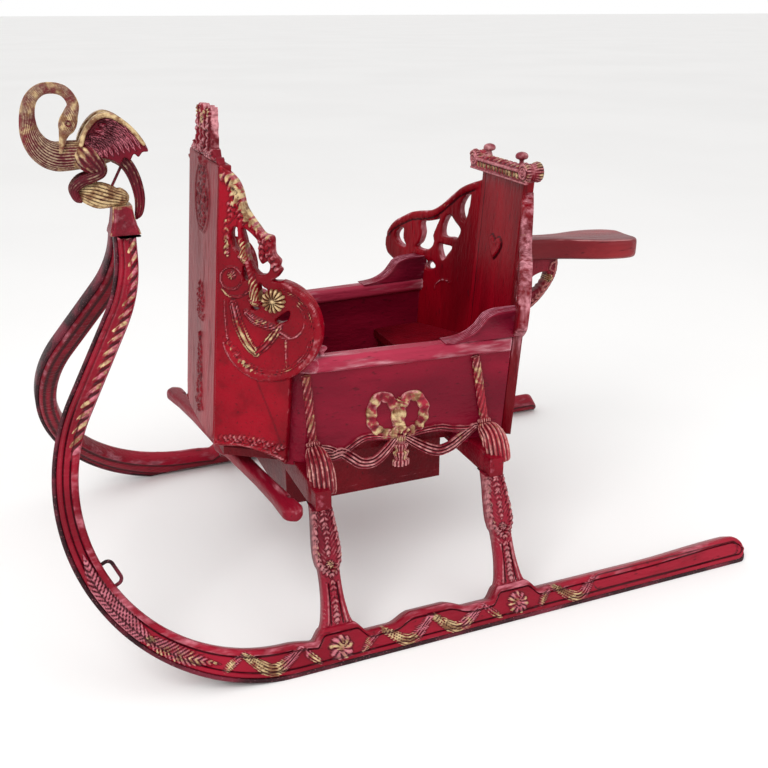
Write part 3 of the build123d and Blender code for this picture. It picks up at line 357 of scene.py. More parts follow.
def hollows(mesh):
    """How far each point lies below the mean of its neighbours along its normal, by its edges' length."""
    ends = np.empty(2 * len(mesh.edges), np.int32)
    mesh.edges.foreach_get("vertices", ends)
    start, end = ends.reshape(-1, 2).T
    place, normal = (np.empty(3 * len(mesh.vertices)) for _ in range(2))
    mesh.vertices.foreach_get("co", place)
    mesh.vertex_normals.foreach_get("vector", normal)
    place, normal = place.reshape(-1, 3), normal.reshape(-1, 3)
    run = place[end] - place[start]
    both, runs = np.concatenate([start, end]), np.concatenate([run, -run])
    length = np.bincount(both, np.linalg.norm(runs, axis=1), len(place))
    return np.bincount(both, (runs * normal[both]).sum(1), len(place)) / np.maximum(length, 1e-9)


def piece(node, way, form, finish, body="sleigh", side="", flip=(1, 1, 1)):
    """One closed piece that stands for a CAD node: a form in millimetres becomes a smooth mesh at the origin,
    its tones become point attributes, tight hollows add painted shade and ridges add wear."""
    points, faces, tones = form
    points = points.reshape(-1, 3) * flip * MM
    name = f"{node}_{way}{side}"
    mesh = bpy.data.meshes.new(name)
    corners = [corner for group in outward(points, faces) for corner in group.tolist()]
    mesh.from_pydata(points.tolist(), [], corners)
    hollow = hollows(mesh)
    # Painted shade in tight hollows; pale wear on ridges.
    added = {"gilt": 0, "worn": 0.5 * smooth(-hollow / 0.3), "deep": 0.7 * smooth(hollow / 0.4)}
    for tone, values in tones.items():
        shares = (values + added[tone]).astype(np.float32)
        mesh.attributes.new(tone, "FLOAT", "POINT").data.foreach_set("value", shares)
    mesh.polygons.foreach_set("use_smooth", np.ones(len(mesh.polygons), bool))
    mesh.set_sharp_from_angle(angle=np.radians(60))
    mesh.materials.append(finish)
    made = bpy.data.objects.new(name, mesh)
    bpy.context.scene.collection.objects.link(made)
    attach(made, body)
    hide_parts(node + side)


def pair(node, way, form, finish):
    """The same piece on the left and, mirrored, on the right."""
    piece(node, way, form, finish, side="_left")
    piece(node, way, form, finish, side="_right", flip=(1, -1, 1))


iron_low, iron_high = box_mm("runner_iron_left")
heel_x, nose_x, half_track = iron_low[0], iron_high[0], iron_high[1]
horn_top = box_mm("horn_block")[0][2]
horn_half = 36.7
lean = np.arctan2(half_track - horn_half, horn_top)
iron_thick = 6
plank_thick = 30
bend_radius = 288
bend_x = nose_x - bend_radius


def on_runner(face, w):
    """Place in the leaning runner plane: forward and up the outer face, w inwards through the plank."""
    x, v = face[..., 0], face[..., 1]
    y = half_track - v * np.sin(lean) - w * np.cos(lean)
    return np.stack([x, y, v * np.cos(lean) - w * np.sin(lean)], -1)


def horn_edge(x, v, radius, return_radius):
    """One edge of the horn, tangent all along: big bend, straight run, return bend and tip."""
    turn = np.radians(np.linspace(0, 120, 240))
    bend = np.stack([x + radius * np.sin(turn), v + radius * (1 - np.cos(turn))], -1)
    run = bend[-1] + np.linspace(2, 130, 52)[:, None] * [np.cos(turn[-1]), np.sin(turn[-1])]
    ahead = np.radians(np.linspace(120, 94, 37))[1:]
    start = run[-1] + return_radius * np.array([np.sin(turn[-1]), -np.cos(turn[-1])])
    back = start - return_radius * np.stack([np.sin(ahead), -np.cos(ahead)], -1)
    tip = back[-1] + np.linspace(2, 128, 50)[:, None] * [np.cos(ahead[-1]), np.sin(ahead[-1])]
    return np.concatenate([bend, run, back, tip])


def foot_top(x):
    """Height of the foot's upper edge: a bearing under each post, a swell between, a rise to the bend."""
    height = 41 + 7 * smooth((x - 200) / 58)
    for middle, half, ramp, top in ((181, 22, 20, 58), (-99, 22, 20, 58), (41, 26, 36, 52)):
        height = np.maximum(height, 41 + (top - 41) * smooth((half + ramp - np.abs(x - middle)) / ramp))
    return height + 5 * smooth((-330 - x) / 170)


def plank(low, high, columns, corner):
    """Face of a plank between two edge curves: plane points, how far the round corners fall back, distance
    from the low edge, and height. Each row crosses from the low edge to the high one."""
    share = np.linspace(0, 1, columns)
    face = low[:, None] + share[None, :, None] * (high - low)[:, None]
    tall = np.hypot(*(high - low).T)[:, None]
    return face, round_over(np.minimum(share, 1 - share)[None, :] * tall, corner), tall * share, tall


def two_faced(carving, outer, inner, levels, worn=0.0, deep=0.0):
    """Closed form of a carved outer face and an inner one with its own wear and painted shade, kept between
    levels.
    """
    points = np.concatenate([outer, inner], 1)
    points[..., 2] = np.clip(points[..., 2], *levels)
    tones = ((carving.gilt, 0), (carving.worn, worn), (np.clip(carving.deep, 0, 1), deep))
    plain = np.zeros(inner.shape[:2])
    return gridded(points, *(np.concatenate([front, plain + back], 1) for front, back in tones))


plank_corner = 4.5
edge_gap = 14
foot_rows = np.linspace(0, 1, 320, endpoint=False)
low_x = heel_x + 0.1 + foot_rows * (bend_x - heel_x - 0.1)
high_x = heel_x + 0.1 + foot_rows * (bend_x + edge_gap - heel_x - 0.1)
low_foot = np.stack([low_x, iron_thick + round_over(low_x - heel_x, 14)], -1)
high_foot = np.stack([high_x, foot_top(high_x) - round_over(high_x - heel_x, 22)], -1)
low = np.concatenate([low_foot, horn_edge(bend_x, iron_thick, bend_radius - iron_thick, 206)])
high = np.concatenate([high_foot, horn_edge(bend_x + edge_gap, 48, 240, 230)])
run = np.concatenate([[0], np.cumsum(np.hypot(*np.diff((low + high) / 2, axis=0).T))])
along = run[:, None] - run[len(foot_rows)]
on_horn = smooth((along - 520) / 40)
face, dip, from_low, tall = plank(low, high, 30, plank_corner)
from_high = tall - from_low
carving = Carving(face[..., 0].copy(), face[..., 1].copy())
bead = 2.4 * dome((from_high - 5) / 5)
sole_bead = 1.4 * dome((from_low - 3.5) / 3.5)
carving.lift(np.maximum(bead, sole_bead), 0, 0.5 * (bead > 0.4))
# Grooves beside the beads, cut in and painted darker along their bottoms as shade.
for gap, wide in ((from_high - 11, 1.6), (from_low - 8, 1.5)):
    cut = hump(gap / wide) * (1 - 0.4 * on_horn)
    carving.height -= 1.8 * cut
    carving.deep += 0.7 * cut * (1 - 0.5 * on_horn)
# Slanting leaves up the rear half of the horn, which start and end softly.
leaf_pitch, leaf_slant = 19.0, 1.5
leaf_band = smooth((along - 470) / 24) * smooth((1010 - along) / 60)
across = np.clip(from_high / tall, 0, 1)
phase = 2 * np.pi * (along + leaf_slant * from_high) / leaf_pitch
in_band = leaf_band * smooth((0.5 + 0.09 * np.cos(phase) - across) / 0.06) * smooth((across - 0.03) / 0.05)
barbs = 0.5 + 0.5 * np.cos(3 * phase + 0.35 * from_high)
leaf_height = in_band * np.sin(np.pi * np.clip(across / 0.5, 0, 1))
leaf_height = leaf_height * (1.0 + 4.2 * (0.5 + 0.5 * np.cos(phase)) + 0.7 * barbs)
leafy = np.maximum(carving.height * (1 - in_band), leaf_height)
carving.height = np.where(in_band > 0.02, leafy, carving.height)
carving.gilt += in_band * smooth(np.cos(phase) + 0.4) * (0.3 + 0.2 * barbs)
carving.worn += in_band * (0.1 + 0.4 * smooth(np.cos(phase))) + 0.3 * on_horn * (1 - in_band)
# Painted shade between the leaves.
carving.deep = np.maximum(carving.deep, 0.75 * in_band * smooth(-np.cos(phase) - 0.2))
# Hanging cloth along the foot. Columns: from, lowest point, to, gilding.
for start, lowest, end, gilt in (
    ((-42, 37), (2, 13), (38, 38), 0.85), ((42, 38), (80, 13), (118, 37), 0.8),
    ((240, 39), (282, 19), (320, 49), 0.9), ((-238, 38), (-205, 13), (-164, 38), 0.65),
):
    carving.drape((start, lowest, end), 17, 4.6, 4, gilt, 0.7, 0.5)
    carving.flower(end, 5, 4.5, 6, 0.5, 0.6)
# Short ribbon ends beside them. Columns: from, to.
for start, end in np.array((
    ((122, 37), (151, 15)), ((236, 37), (216, 14)), ((-46, 36), (-68, 13)), ((-160, 37), (-139, 16)),
    ((322, 48), (348, 33)),
)):
    carving.drape((start, (start + end) / 2 + (2, 0), end), 10, 3.6, 2, 0.6, 0.6, 0.6)
carving.flower((-101, 27), 17, 6, 11, 0.42, 0.6)
carving.flower((183, 27), 18, 6.5, 9, 0.42, 0.6, twist=2.2)
# Palm leaves on the bend, both springing from one pearl.
carving.leaf(((442, 99), (472, 132), (492, 172), (505, 226)), 34, 6, 22, 0.16, 0.95, 0.4, 5, 0.06)
carving.leaf(((440, 97), (418, 78), (392, 62), (352, 44)), 26, 5.5, 15, 0.55, 0.5, 0.5, 4, 0.1)
carving.flower((439, 96), 7, 7, 6, 0.5, 0.6)
# Sunk panel with a round end behind the rear post.
slot_x = np.clip(carving.A, heel_x + 22, -248)
slot = np.hypot(carving.A - slot_x, carving.B - 26.5) - 11.5
behind = carving.A < -235
carving.height -= 1.6 * smooth(-slot / 1.5) * behind
# A dark line of painted shade round the sunk panel's edge.
carving.deep += 0.9 * hump(slot / 1.3) * behind
tip_taper = 14 * smooth((run - run[-1] + 110) / 100)[:, None]
outer = on_runner(face, tip_taper + dip - carving.height)
inner_face, inner_dip, inner_low, inner_tall = plank(high, low, 12, plank_corner)
inner_groove = hump((inner_low - 8) / 3) + hump((inner_tall - inner_low - 8) / 3)
inner = on_runner(inner_face, plank_thick - inner_dip - 1.8 * inner_groove)
# The inner face is painted darker all over as shade, most in its grooves.
form = two_faced(carving, outer, inner, (iron_thick, horn_top), 0.1, 0.35 + 0.5 * inner_groove)
pair("runner", "carved", form, runner_paint)

# Runner irons: flat bars bent round the sole of each runner and up the front of its horn.
# Forged iron, nailed on; they lie flat on the floor and narrow towards the horn's tip.
sole_foot = np.stack([low_x, round_over(low_x - heel_x, 12)], -1)
sole = np.concatenate([sole_foot, horn_edge(bend_x, 0, bend_radius, 212)])
narrow = 1 + 4 * smooth((along[:, 0] - 100) / 300)
near_w, far_w = narrow + tip_taper[:, 0], plank_thick - narrow
rings = []
# Round the bar's section. Columns: share from sole to plank, share through the plank.
for up, through in ((0.2, 0), (0, 0.06), (0, 0.94), (0.2, 1), (0.8, 1), (1, 0.94), (1, 0.06), (0.8, 0)):
    ring = on_runner(sole + up * (low - sole), near_w + through * (far_w - near_w))
    ring[:, 2] = np.clip(ring[:, 2], iron_thick * up, horn_top)
    rings.append(ring)
pair("runner_iron", "forged", gridded(np.stack(rings, 1)), iron)

# Posts: four sawn and carved boards that stand on the runners and carry the bolsters.
# Painted wood, tenoned at both ends; a leaf drop above a looped garland with a pearl, a flared foot.
post_paint = painted(
    "post_paint", (146, 28, 48), (100, 12, 30), (200, 132, 136), rub=0.0, grain=(1, 1, 0.5)
)
post_corner = 5
post_foot = 50
post_top = box_mm("bolster_rear")[0][2]
post_rise = (box_mm("post_front_left")[1][2] + plank_thick * np.sin(lean)) / np.cos(lean) - post_foot
rake = np.tan(np.radians(3))
post_rows = np.linspace(0, 1, 130)
v = post_foot + post_rows * (post_rise - 14)
# Columns: share of the rise, half width there.
post_widths = smooth_line((
    (0, 31), (0.05, 23), (0.12, 19), (0.25, 15.5), (0.42, 15), (0.47, 18), (0.55, 20), (0.66, 19),
    (0.8, 16.5), (0.9, 15.5), (1, 16),
), 200)
half = np.interp(post_rows, *post_widths.T)
for place, foot_x in (("front", 181), ("rear", -99)):
    middle = foot_x - rake * (v - 60)
    behind, before = (np.stack([middle + sign * half, v], -1) for sign in (-1, 1))
    face, dip, _, _ = plank(behind, before, 30, post_corner)
    carving = Carving(face[..., 0] - middle[:, None], face[..., 1].copy())
    ridge = np.cos(2 * np.pi * (carving.B - 1.2 * np.abs(carving.A)) / 7)
    carving.height += 0.35 * ridge * smooth((np.abs(carving.A) - 2) / 3)
    carving.worn += 0.3 + 0.1 * np.clip(ridge, 0, 1)
    # Painted shade between the ridges.
    carving.deep += 0.12 * np.clip(-ridge, 0, 1)
    # Husks down the middle. Columns: top, foot, width.
    for top, foot, wide in (
        (234, 212, 13), (216, 192, 14), (197, 172, 13), (176, 152, 10), (118, 96, 12), (100, 76, 12),
        (80, 58, 11),
    ):
        carving.leaf(((0, top), (0, (top + foot) / 2), (0, foot)), wide, 4.2, 3, 0.2, 0.75, 0.6)
    for side in ((1, 1), (-1, 1)):
        # Leaf garland down each edge, closed below by two leaves.
        for midrib in (
            ((12, 222), (16, 206), (15, 190)), ((14, 202), (18, 184), (16, 168)),
            ((15, 180), (19, 164), (15, 148)), ((16, 160), (16, 146), (8, 133)),
            ((12, 142), (6, 132), (-3, 124)),
        ):
            carving.leaf(np.array(midrib) * side, 11, 6, 4, 0.3, 0.85, 0.5)
        carving.rib(np.array(((9, 116), (10, 90), (14, 60))) * side, 4, 2.4, 0.1, 0.6)
        carving.groove(np.array(((5.5, 116), (7, 88), (9, 60))) * side, 2.4, 1.6, 0.7)
    carving.flower((0, 143), 6, 6, 8, 0.4, 0.7)
    outer = on_runner(face, 3 + dip - carving.height)
    inner_face, inner_dip, _, _ = plank(before, behind, 10, post_corner)
    inner = on_runner(inner_face, plank_thick - 3 - inner_dip)
    # The inner face is painted darker as shade.
    form = two_faced(carving, outer, inner, (0, post_top), deep=0.3)
    pair(f"post_{place}", "carved", form, post_paint)

# Bolsters, footwell, floor and seat: boards, glued and nailed, that close the tub from below.
# Dark red paint, rubbed pale along the edges; the bolsters have rounded arrises and ends.
board_paint = painted("board_paint", (126, 10, 26), (86, 4, 16), (170, 92, 100), rub=0.04, edge=0.003)
bolster_paint = painted("bolster_paint", (146, 8, 34), (104, 2, 20), (216, 122, 140))
dress(
    board_paint, "footwell_floor", "footwell_front", "footwell_rear", "footwell_side_left",
    "footwell_side_right", "body_floor", "seat_riser", "seat_board", "swingletree_pin",
)


def squared_ring(columns, power, below=0.0):
    """Angles round a ring, with cosine and sine raised to a power under 1, which squares the ring; below
    adds to the power in the lower half."""
    turn = np.linspace(0, 2 * np.pi, columns, endpoint=False)[None, :]
    power = power + below * (np.sin(turn) < 0)
    return turn, *(np.sign(way) * np.abs(way) ** power for way in (np.cos(turn), np.sin(turn)))


bolster_half = 228.4
share = np.concatenate([np.linspace(0, 0.06, 14), np.linspace(0.07, 0.93, 60), np.linspace(0.94, 1, 14)])
turn, ring_x, ring_z = squared_ring(44, 0.18)
for node in ("bolster_rear", "bolster_front_left", "bolster_front_right"):
    box_low, box_high = box_mm(node)
    middle, half = (box_low + box_high) / 2, (box_high - box_low) / 2
    y = box_low[1] + share[:, None] * (box_high[1] - box_low[1])
    slim = 0.8 + 0.2 * dome(1 - np.clip((bolster_half - np.abs(y)) / 13, 0, 1))
    x, z = middle[0] + half[0] * slim * ring_x, box_low[2] + half[2] * slim * (1 + ring_z)
    piece(node, "shaped", gridded(np.stack([x, y + 0 * turn, z], -1)), bolster_paint)

# Front wings: splayed boards beside the front panel, fretted into struts and leaves above a large scroll.
# Carved from one board each, painted crimson with gilded leaves; nailed to panel and sides.
wing_paint = painted("wing_paint", (152, 2, 28), (116, 0, 18), (206, 130, 136), rub=-0.08, rough=0.3)


def edge_distance(A, B, corners):
    """Distance to a closed outline, positive inside: to the nearest edge, signed by how often a
    level line crosses the outline."""
    corners = np.asarray(corners, float)
    away = np.full(A.shape, 1e9)
    inside = np.zeros(A.shape, bool)
    for (a0, b0), (a1, b1) in zip(corners, np.roll(corners, -1, 0)):
        run_a, run_b = a1 - a0, b1 - b0
        t = np.clip(((A - a0) * run_a + (B - b0) * run_b) / (run_a**2 + run_b**2), 0, 1)
        away = np.minimum(away, np.hypot(A - a0 - t * run_a, B - b0 - t * run_b))
        if run_b:
            inside ^= ((b0 > B) != (b1 > B)) & (A < a0 + (B - b0) * run_a / run_b)
    return np.where(inside, away, -away)


def pierced(outline, loops=(), count=36):
    """Function for the distance to an outline or to its nearest opening, positive in the wood. An opening
    is a smooth loop through a few points, and only what lies near it is measured."""
    openings = [smooth_line(points, count, closed=True) for points in loops]

    def inside(A, B):
        away = edge_distance(A, B, outline)
        for opening in openings:
            spots = (np.abs(A - opening[:, 0].mean()) < 45) & (np.abs(B - opening[:, 1].mean()) < 55)
            away[spots] = np.minimum(away[spots], -edge_distance(A[spots], B[spots], opening))
        return away

    return inside


def rim_edges(quads, count):
    """Edges that belong to one quad only, in the quad's own direction."""
    ways = np.concatenate([quads[:, [k, (k + 1) % 4]] for k in range(4)])
    _, where, times = np.unique(np.sort(ways, 1) @ [count, 1], return_index=True, return_counts=True)
    return ways[where[times == 1]]


class Board(Carving):
    """Carving on a board cut to an outline, over a grid of quads. Cells with two corners or more in the
    wood stay, and the corners round their rim slide along the slope of the distance onto the edge."""

    def __init__(self, inside, a_span, b_span, step):
        a, b = np.arange(*a_span, step), np.arange(*b_span, step)
        A, B = (g.ravel() for g in np.meshgrid(a, b))
        away = inside(A, B)
        first = (np.arange(len(b) - 1)[:, None] * len(a) + np.arange(len(a) - 1)).ravel()
        quads = np.stack([first, first + 1, first + len(a) + 1, first + len(a)], -1)
        quads = quads[(away[quads] > 0).sum(1) >= 2]
        used, quads = np.unique(quads, return_inverse=True)
        self.quads = quads.reshape(-1, 4)
        A, B, away = A[used], B[used], away[used]
        out = np.unique(rim_edges(self.quads, len(A)))
        for _ in range(4):
            slope_a = (inside(A[out] + 0.05, B[out]) - away[out]) / 0.05
            slope_b = (inside(A[out], B[out] + 0.05) - away[out]) / 0.05
            steep = np.maximum(slope_a**2 + slope_b**2, 0.25)
            A[out] -= away[out] * slope_a / steep
            B[out] -= away[out] * slope_b / steep
            away[out] = inside(A[out], B[out])
        self.away = np.maximum(away, 0)
        super().__init__(A, B)

    def form(self, thick, edge, place, alike=False):
        """Closed board: carved front with round edges, walls round every rim, and a back that is flat or, if
        alike, carved as the front."""
        top = self.height - round_over(self.away, edge)
        front, back = place(self.A, self.B, top), place(self.A, self.B, -thick - alike * top)
        count = len(front)
        rim = rim_edges(self.quads, count)
        walls = np.stack([rim[:, 1], rim[:, 0], rim[:, 0] + count, rim[:, 1] + count], -1)
        tones = {"gilt": self.gilt, "worn": self.worn, "deep": np.clip(self.deep, 0, 1)}
        tones = {name: np.tile(values, 2) for name, values in tones.items()}
        return np.concatenate([front, back]), [self.quads, self.quads[:, ::-1] + count, walls], tones


def plane_place(origin, along, up):
    """Function that puts plane points (along, up, height) of a leaning board into the part's frame."""
    along, up = (np.array(way, float) / np.linalg.norm(way) for way in (along, up))
    normal = np.cross(along, up)
    normal = normal / np.linalg.norm(normal)
    return lambda a, b, height: origin + a[:, None] * along + b[:, None] * up + height[:, None] * normal


def arc(middle, radii, start, end, count):
    """Points on an arc of an ellipse, from one angle to another in degrees."""
    turn = np.radians(np.linspace(start, end, count))
    return middle + np.stack([np.cos(turn), np.sin(turn)], -1) * radii


wing_thick, wing_edge = 16, 2.5
front_base = np.array([294.5, 0, 246.0])
front_up = np.array([-36, 0, 416.0])
front_half = box_mm("front_panel")[1][1]
splay = np.radians(35)
wing_place = plane_place(front_base + [0, front_half, 0], [-np.cos(splay), np.sin(splay), 0], front_up)
wing_rim = smooth_line((
    (0, 418), (12, 409), (24, 398), (32, 383), (38, 363), (48, 348), (58, 336), (67, 326), (79, 322),
    (81, 308), (83, 298), (91, 289), (90, 281), (94, 276), (88, 266), (82, 261), (97, 261),
), 90)
eye = np.array([84, 188])
volute_radii = np.array([74, 75])
arch = smooth_line(((115, -17), (84, -4), (50, 4), (20, 3), (0, 1)), 24)
wing_outline = np.concatenate([wing_rim, arc(eye, volute_radii, 80, -66, 60), [(115, 112)], arch])
wing_openings = (
    ((20, 325), (22, 333), (26, 335), (30, 329), (32, 315), (36, 300), (30, 300), (23, 309)),
    ((35, 334), (42, 331), (51, 324), (60, 314), (60, 302), (61, 292), (67, 284), (72, 288), (77, 288),
     (78, 278), (73, 270), (62, 269), (52, 281), (45, 296), (41, 314)),
    ((39, 282), (43, 275), (47, 262), (43, 259), (39, 268)),
    ((63, 257), (70, 251), (75, 248), (73, 238), (68, 228), (64, 241)),
    ((51, 221), (58, 223), (66, 221), (58, 217)),
    ((89, 204), (98, 213), (109, 219), (109, 209), (102, 202), (94, 200)),
)
carving = Board(pierced(wing_outline, wing_openings), (-1, 162), (-20, 422), 1.85)
A, B = carving.A, carving.B
ring = np.hypot((A - eye[0]) / 74, (B - eye[1]) / 75) * 74
turned = np.arctan2(B - eye[1], A - eye[0])
rim_side = smooth((turned + 2.9) / 0.3) * smooth((1.5 - turned) / 0.2)
# Mouldings round the scroll. Columns: radius, half width, rise, gilding, wear.
for radius, wide, rise, gilt, worn in (
    (69, 5.2, 4.0, 0, 0.5), (62.2, 1.4, 1.6, 0.35, 0.2), (58.7, 1.4, 1.6, 0.28, 0.2),
):
    line = rim_side * dome((ring - radius) / wide)
    carving.lift(rise * line, gilt * line, worn * line)
# Gilded leaves along the upper rim, then down the inner strip. Columns: midrib, width, rise, gilding.
for midrib, wide, rise, gilt in (
    (((4, 404), (20, 396), (34, 372)), 20, 5, 0.7), (((22, 390), (36, 366), (46, 342)), 20, 5.5, 0.9),
    (((38, 360), (50, 343), (64, 330)), 19, 5.5, 0.95), (((52, 338), (66, 327), (80, 318)), 16, 5, 0.5),
    (((68, 320), (80, 304), (86, 286)), 17, 5, 0.2), (((74, 300), (84, 286), (92, 272)), 15, 5, 0.15),
    (((62, 318), (66, 302), (66, 286)), 12, 5, 0.2), (((12, 400), (22, 382), (20, 352)), 15, 4.5, 0.5),
    (((16, 368), (20, 352), (13, 336)), 13, 4.5, 0.3), (((13, 344), (14, 322), (18, 296)), 11, 4, 0.6),
    (((30, 368), (34, 352), (38, 338)), 14, 5, 0.3), (((14, 316), (14, 300), (19, 290)), 8, 3.5, 0.7),
):
    carving.leaf(midrib, wide, rise, 4, gilt, 0.5)
# Trumpet struts: fluted stems that flare downwards to a collar.
for stem, wide in ((((33, 342), (34, 318), (42, 292)), 13), (((44, 290), (53, 262), (59, 231)), 14)):
    spots, distance, share, _ = carving.near(stem, 12)
    half = wide / 2 * (0.55 + 0.6 * share**1.5)
    crown = dome(distance / half)
    flute = 0.5 + 0.5 * np.cos(2 * np.pi * 2.2 * distance / half)
    stem_gilt = 0.8 * flute * smooth((share - 0.25) / 0.4)
    carving.lift(6 * crown * (0.75 + 0.25 * flute), stem_gilt, 0.35 * crown, spots)
    carving.rib(np.array([(-8, 2), (8, -2)]) + stem[-1], 5, 6.5, 0.3, 0.4)
# Small beaded scroll with a boss, bead strings, and the ring of the inner spiral.
circle = np.degrees((0.4, 6.2))
carving.rib(arc((22, 262), 16, *circle, 14), 3, 2.6, 0.2, 0.6, beads=24)
carving.flower((23, 267), 7, 4, 8, 0.35, 0.6)
carving.rib(((8, 246), (20, 236), (38, 237), (50, 246)), 3, 2.4, 0.4, 0.4, beads=14)
carving.rib(((107, 176), (108, 156), (110, 136)), 4, 2.2, 0.2, 0.5, beads=7)
carving.rib(((13, 232), (15, 200), (19, 172)), 3.5, 2.2, 0.15, 0.5, beads=14)
carving.rib(arc((108, 206), (25, 27), 200, 420, 14), 3, 1.8, 0.35, 0.6)
# V of gathered cloth with gilded edges under the fretwork, tied at the rosette.
carving.drape(((26, 226), (36, 194), (50, 168), (63, 154)), 15, 5, 2, 0.7, 0.4, 0.7)
carving.drape(((63, 154), (76, 166), (88, 182), (96, 196)), 12, 4.5, 2, 0.45, 0.4, 0.7)
carving.drape(((46, 214), (58, 204), (72, 198), (92, 192)), 12, 4.5, 3, 0.4, 0.6, 0.7)
carving.rib(((70, 202), (82, 193), (98, 188), (112, 180)), 4, 3, 0.1, 0.6)
# Leaves that follow the scroll's inner left, and the plain bead below them.
carving.leaf(((20, 168), (34, 146), (54, 128)), 13, 4, 5, 0.5, 0.4)
carving.leaf(((44, 140), (56, 128), (70, 118)), 12, 4, 4, 0.7, 0.3)
carving.rib(arc(eye, volute_radii, 197, 262, 10), 4, 2.6, 0, 0.7)
# Leaf border along the arched foot, and the old glue joint that runs down to the side.
for start in np.linspace(2, 92, 7):
    foot = 6 + 6 * np.sin(np.pi * start / 110) - 14 * (start / 110) ** 2
    carving.leaf(((start, foot), (start + 10, foot + 9), (start + 24, foot + 13)), 12, 3.6, 4, 0.25, 0.55)
carving.rib(((2, 8), (40, 9), (80, 3), (110, -8)), 5, 3, 0.1, 0.5)
carving.groove(((66, 110), (90, 56), (112, 2)), 5, 0.6, 0.35)
pair("front_wing", "carved", carving.form(wing_thick, wing_edge, wing_place), wing_paint)

# Rear wings: splayed boards behind the seat, sawn into flame-shaped openings under a moulded rim.
# Painted dark red inside; glued to the back panel and the sides.
rear_paint = painted(
    "rear_wing_paint", (140, 2, 22), (92, 0, 12), (206, 136, 146), rub=-0.15, grain=(1, 1, 0.2)
)
back_base = np.array([-209, 0, 228.0])
back_up = np.array([-28, 0, 378.0])
back_half = box_mm("back_panel")[1][1]
rear_place = plane_place(back_base + [0, back_half, 0], [60.5, 115, 0], back_up)
rear_rim = smooth_line((
    (-8, 360), (20, 349), (40, 339), (60, 322), (80, 304), (100, 292), (122, 287), (144, 283), (164, 273),
    (184, 261), (198, 244), (205, 222), (200, 200), (178, 186), (150, 172),
), 80)
rear_outline = np.concatenate([rear_rim, [(130, 164), (130, 0), (-8, 0)]])
rear_openings = (
    ((20, 329), (31, 325), (40, 306), (36, 288), (28, 281), (22, 300)),
    ((35, 264), (48, 277), (61, 288), (71, 277), (75, 258), (70, 247), (54, 248), (42, 247)),
    ((81, 283), (92, 275), (106, 271), (123, 267), (119, 248), (123, 230), (132, 219), (114, 216), (98, 222),
     (91, 235), (94, 248)),
    ((164, 250), (174, 248), (183, 234), (176, 222), (164, 216), (155, 217), (163, 232)),
    ((50, 231), (65, 233), (79, 233), (77, 219), (68, 206), (58, 217)),
    ((83, 190), (93, 199), (100, 194), (106, 184), (94, 183)),
    ((103, 198), (118, 202), (138, 206), (130, 191), (116, 185), (107, 189)),
)
carving = Board(pierced(rear_outline, rear_openings), (-9, 208), (-1, 363), 2.5)
carving.rib(rear_rim[4:60:4] - (0, 6), 14, 3, 0.15, 0.35, count=60)
carving.groove(rear_rim[4:60:4] - (0, 15), 3, 1.2, count=60)
carving.rib(((44, 166), (60, 170), (76, 160), (80, 146)), 3, 1.8, 0, 0.6, beads=9)
edge_wear = 0.5 * smooth((1.5 - carving.away) / 1.5) * smooth((carving.B - 60) / 60)
carving.worn = np.maximum(carving.worn, edge_wear)
pair("rear_wing", "carved", carving.form(wing_thick, wing_edge, rear_place), rear_paint)

# Rosettes: turned and carved daisies, one on each front wing over the scroll's eye.
# Gilded wood, glued on.
rosette_a, rosette_b = 86, 233


def inside_rosette(A, B):
    """Distance to the rosette's edge, a circle scalloped into fourteen lobes, positive in the wood."""
    return 17.6 * (0.93 + 0.07 * np.abs(np.cos(7 * np.arctan2(B, A)))) - np.hypot(A, B)


carving = Board(inside_rosette, (-18.5, 19), (-18.5, 19), 0.7)
carving.flower((0, 0), 17.8, 9, 14, 0.95, 0.2)
carving.flower((0, 0), 7.5, 8.5, 10, 0.8, 0.1)
form = carving.form(1, 0.6, lambda a, b, height: wing_place(a + rosette_a, b + rosette_b, height))
pair("wing_rosette", "carved", form, wing_paint)

# Front panel: tall raked board with a sunk oval of foliage, a spray of leaves and a bellflower drop.
# Painted wood, its middle faded to a brownish pink between crimson strips; joined to both wings.
panel_paint = painted(
    "front_panel_paint", (150, 4, 32), (112, 0, 20), (120, 54, 58), rub=-0.06, grain=(1, 1, 0.25)
)
panel_thick = 17.5
front_place = plane_place(front_base, [0, 1, 0], front_up)
front_rise = np.linalg.norm(front_up)
corner = arc((62.5, 36), 36, -90, 0, 16)
panel_outline = np.concatenate([corner, [(98.5, front_rise), (-98.5, front_rise)], corner[::-1] * (-1, 1)])
carving = Board(pierced(panel_outline), (-99, 101), (-1, 420), 2.3)
carving.worn += 0.62 * smooth((82 - np.abs(carving.A)) / 3)
for a in (81, -81):
    carving.groove(((a, 30), (a, 220), (a, 410)), 2.2, 0.8, 0.6)
oval = np.hypot(carving.A / 46, (carving.B - 358) / 50)
sunk = smooth((1 - oval) / 0.05)
carving.height -= 4.2 * sunk
carving.worn -= 0.5 * sunk
# Painted shade in the sunk oval.
carving.deep += 0.2 * sunk
oval_rim = dome((oval - 1.03) / 0.035)
carving.lift(1.8 * oval_rim, 0, 1.0 * oval_rim)
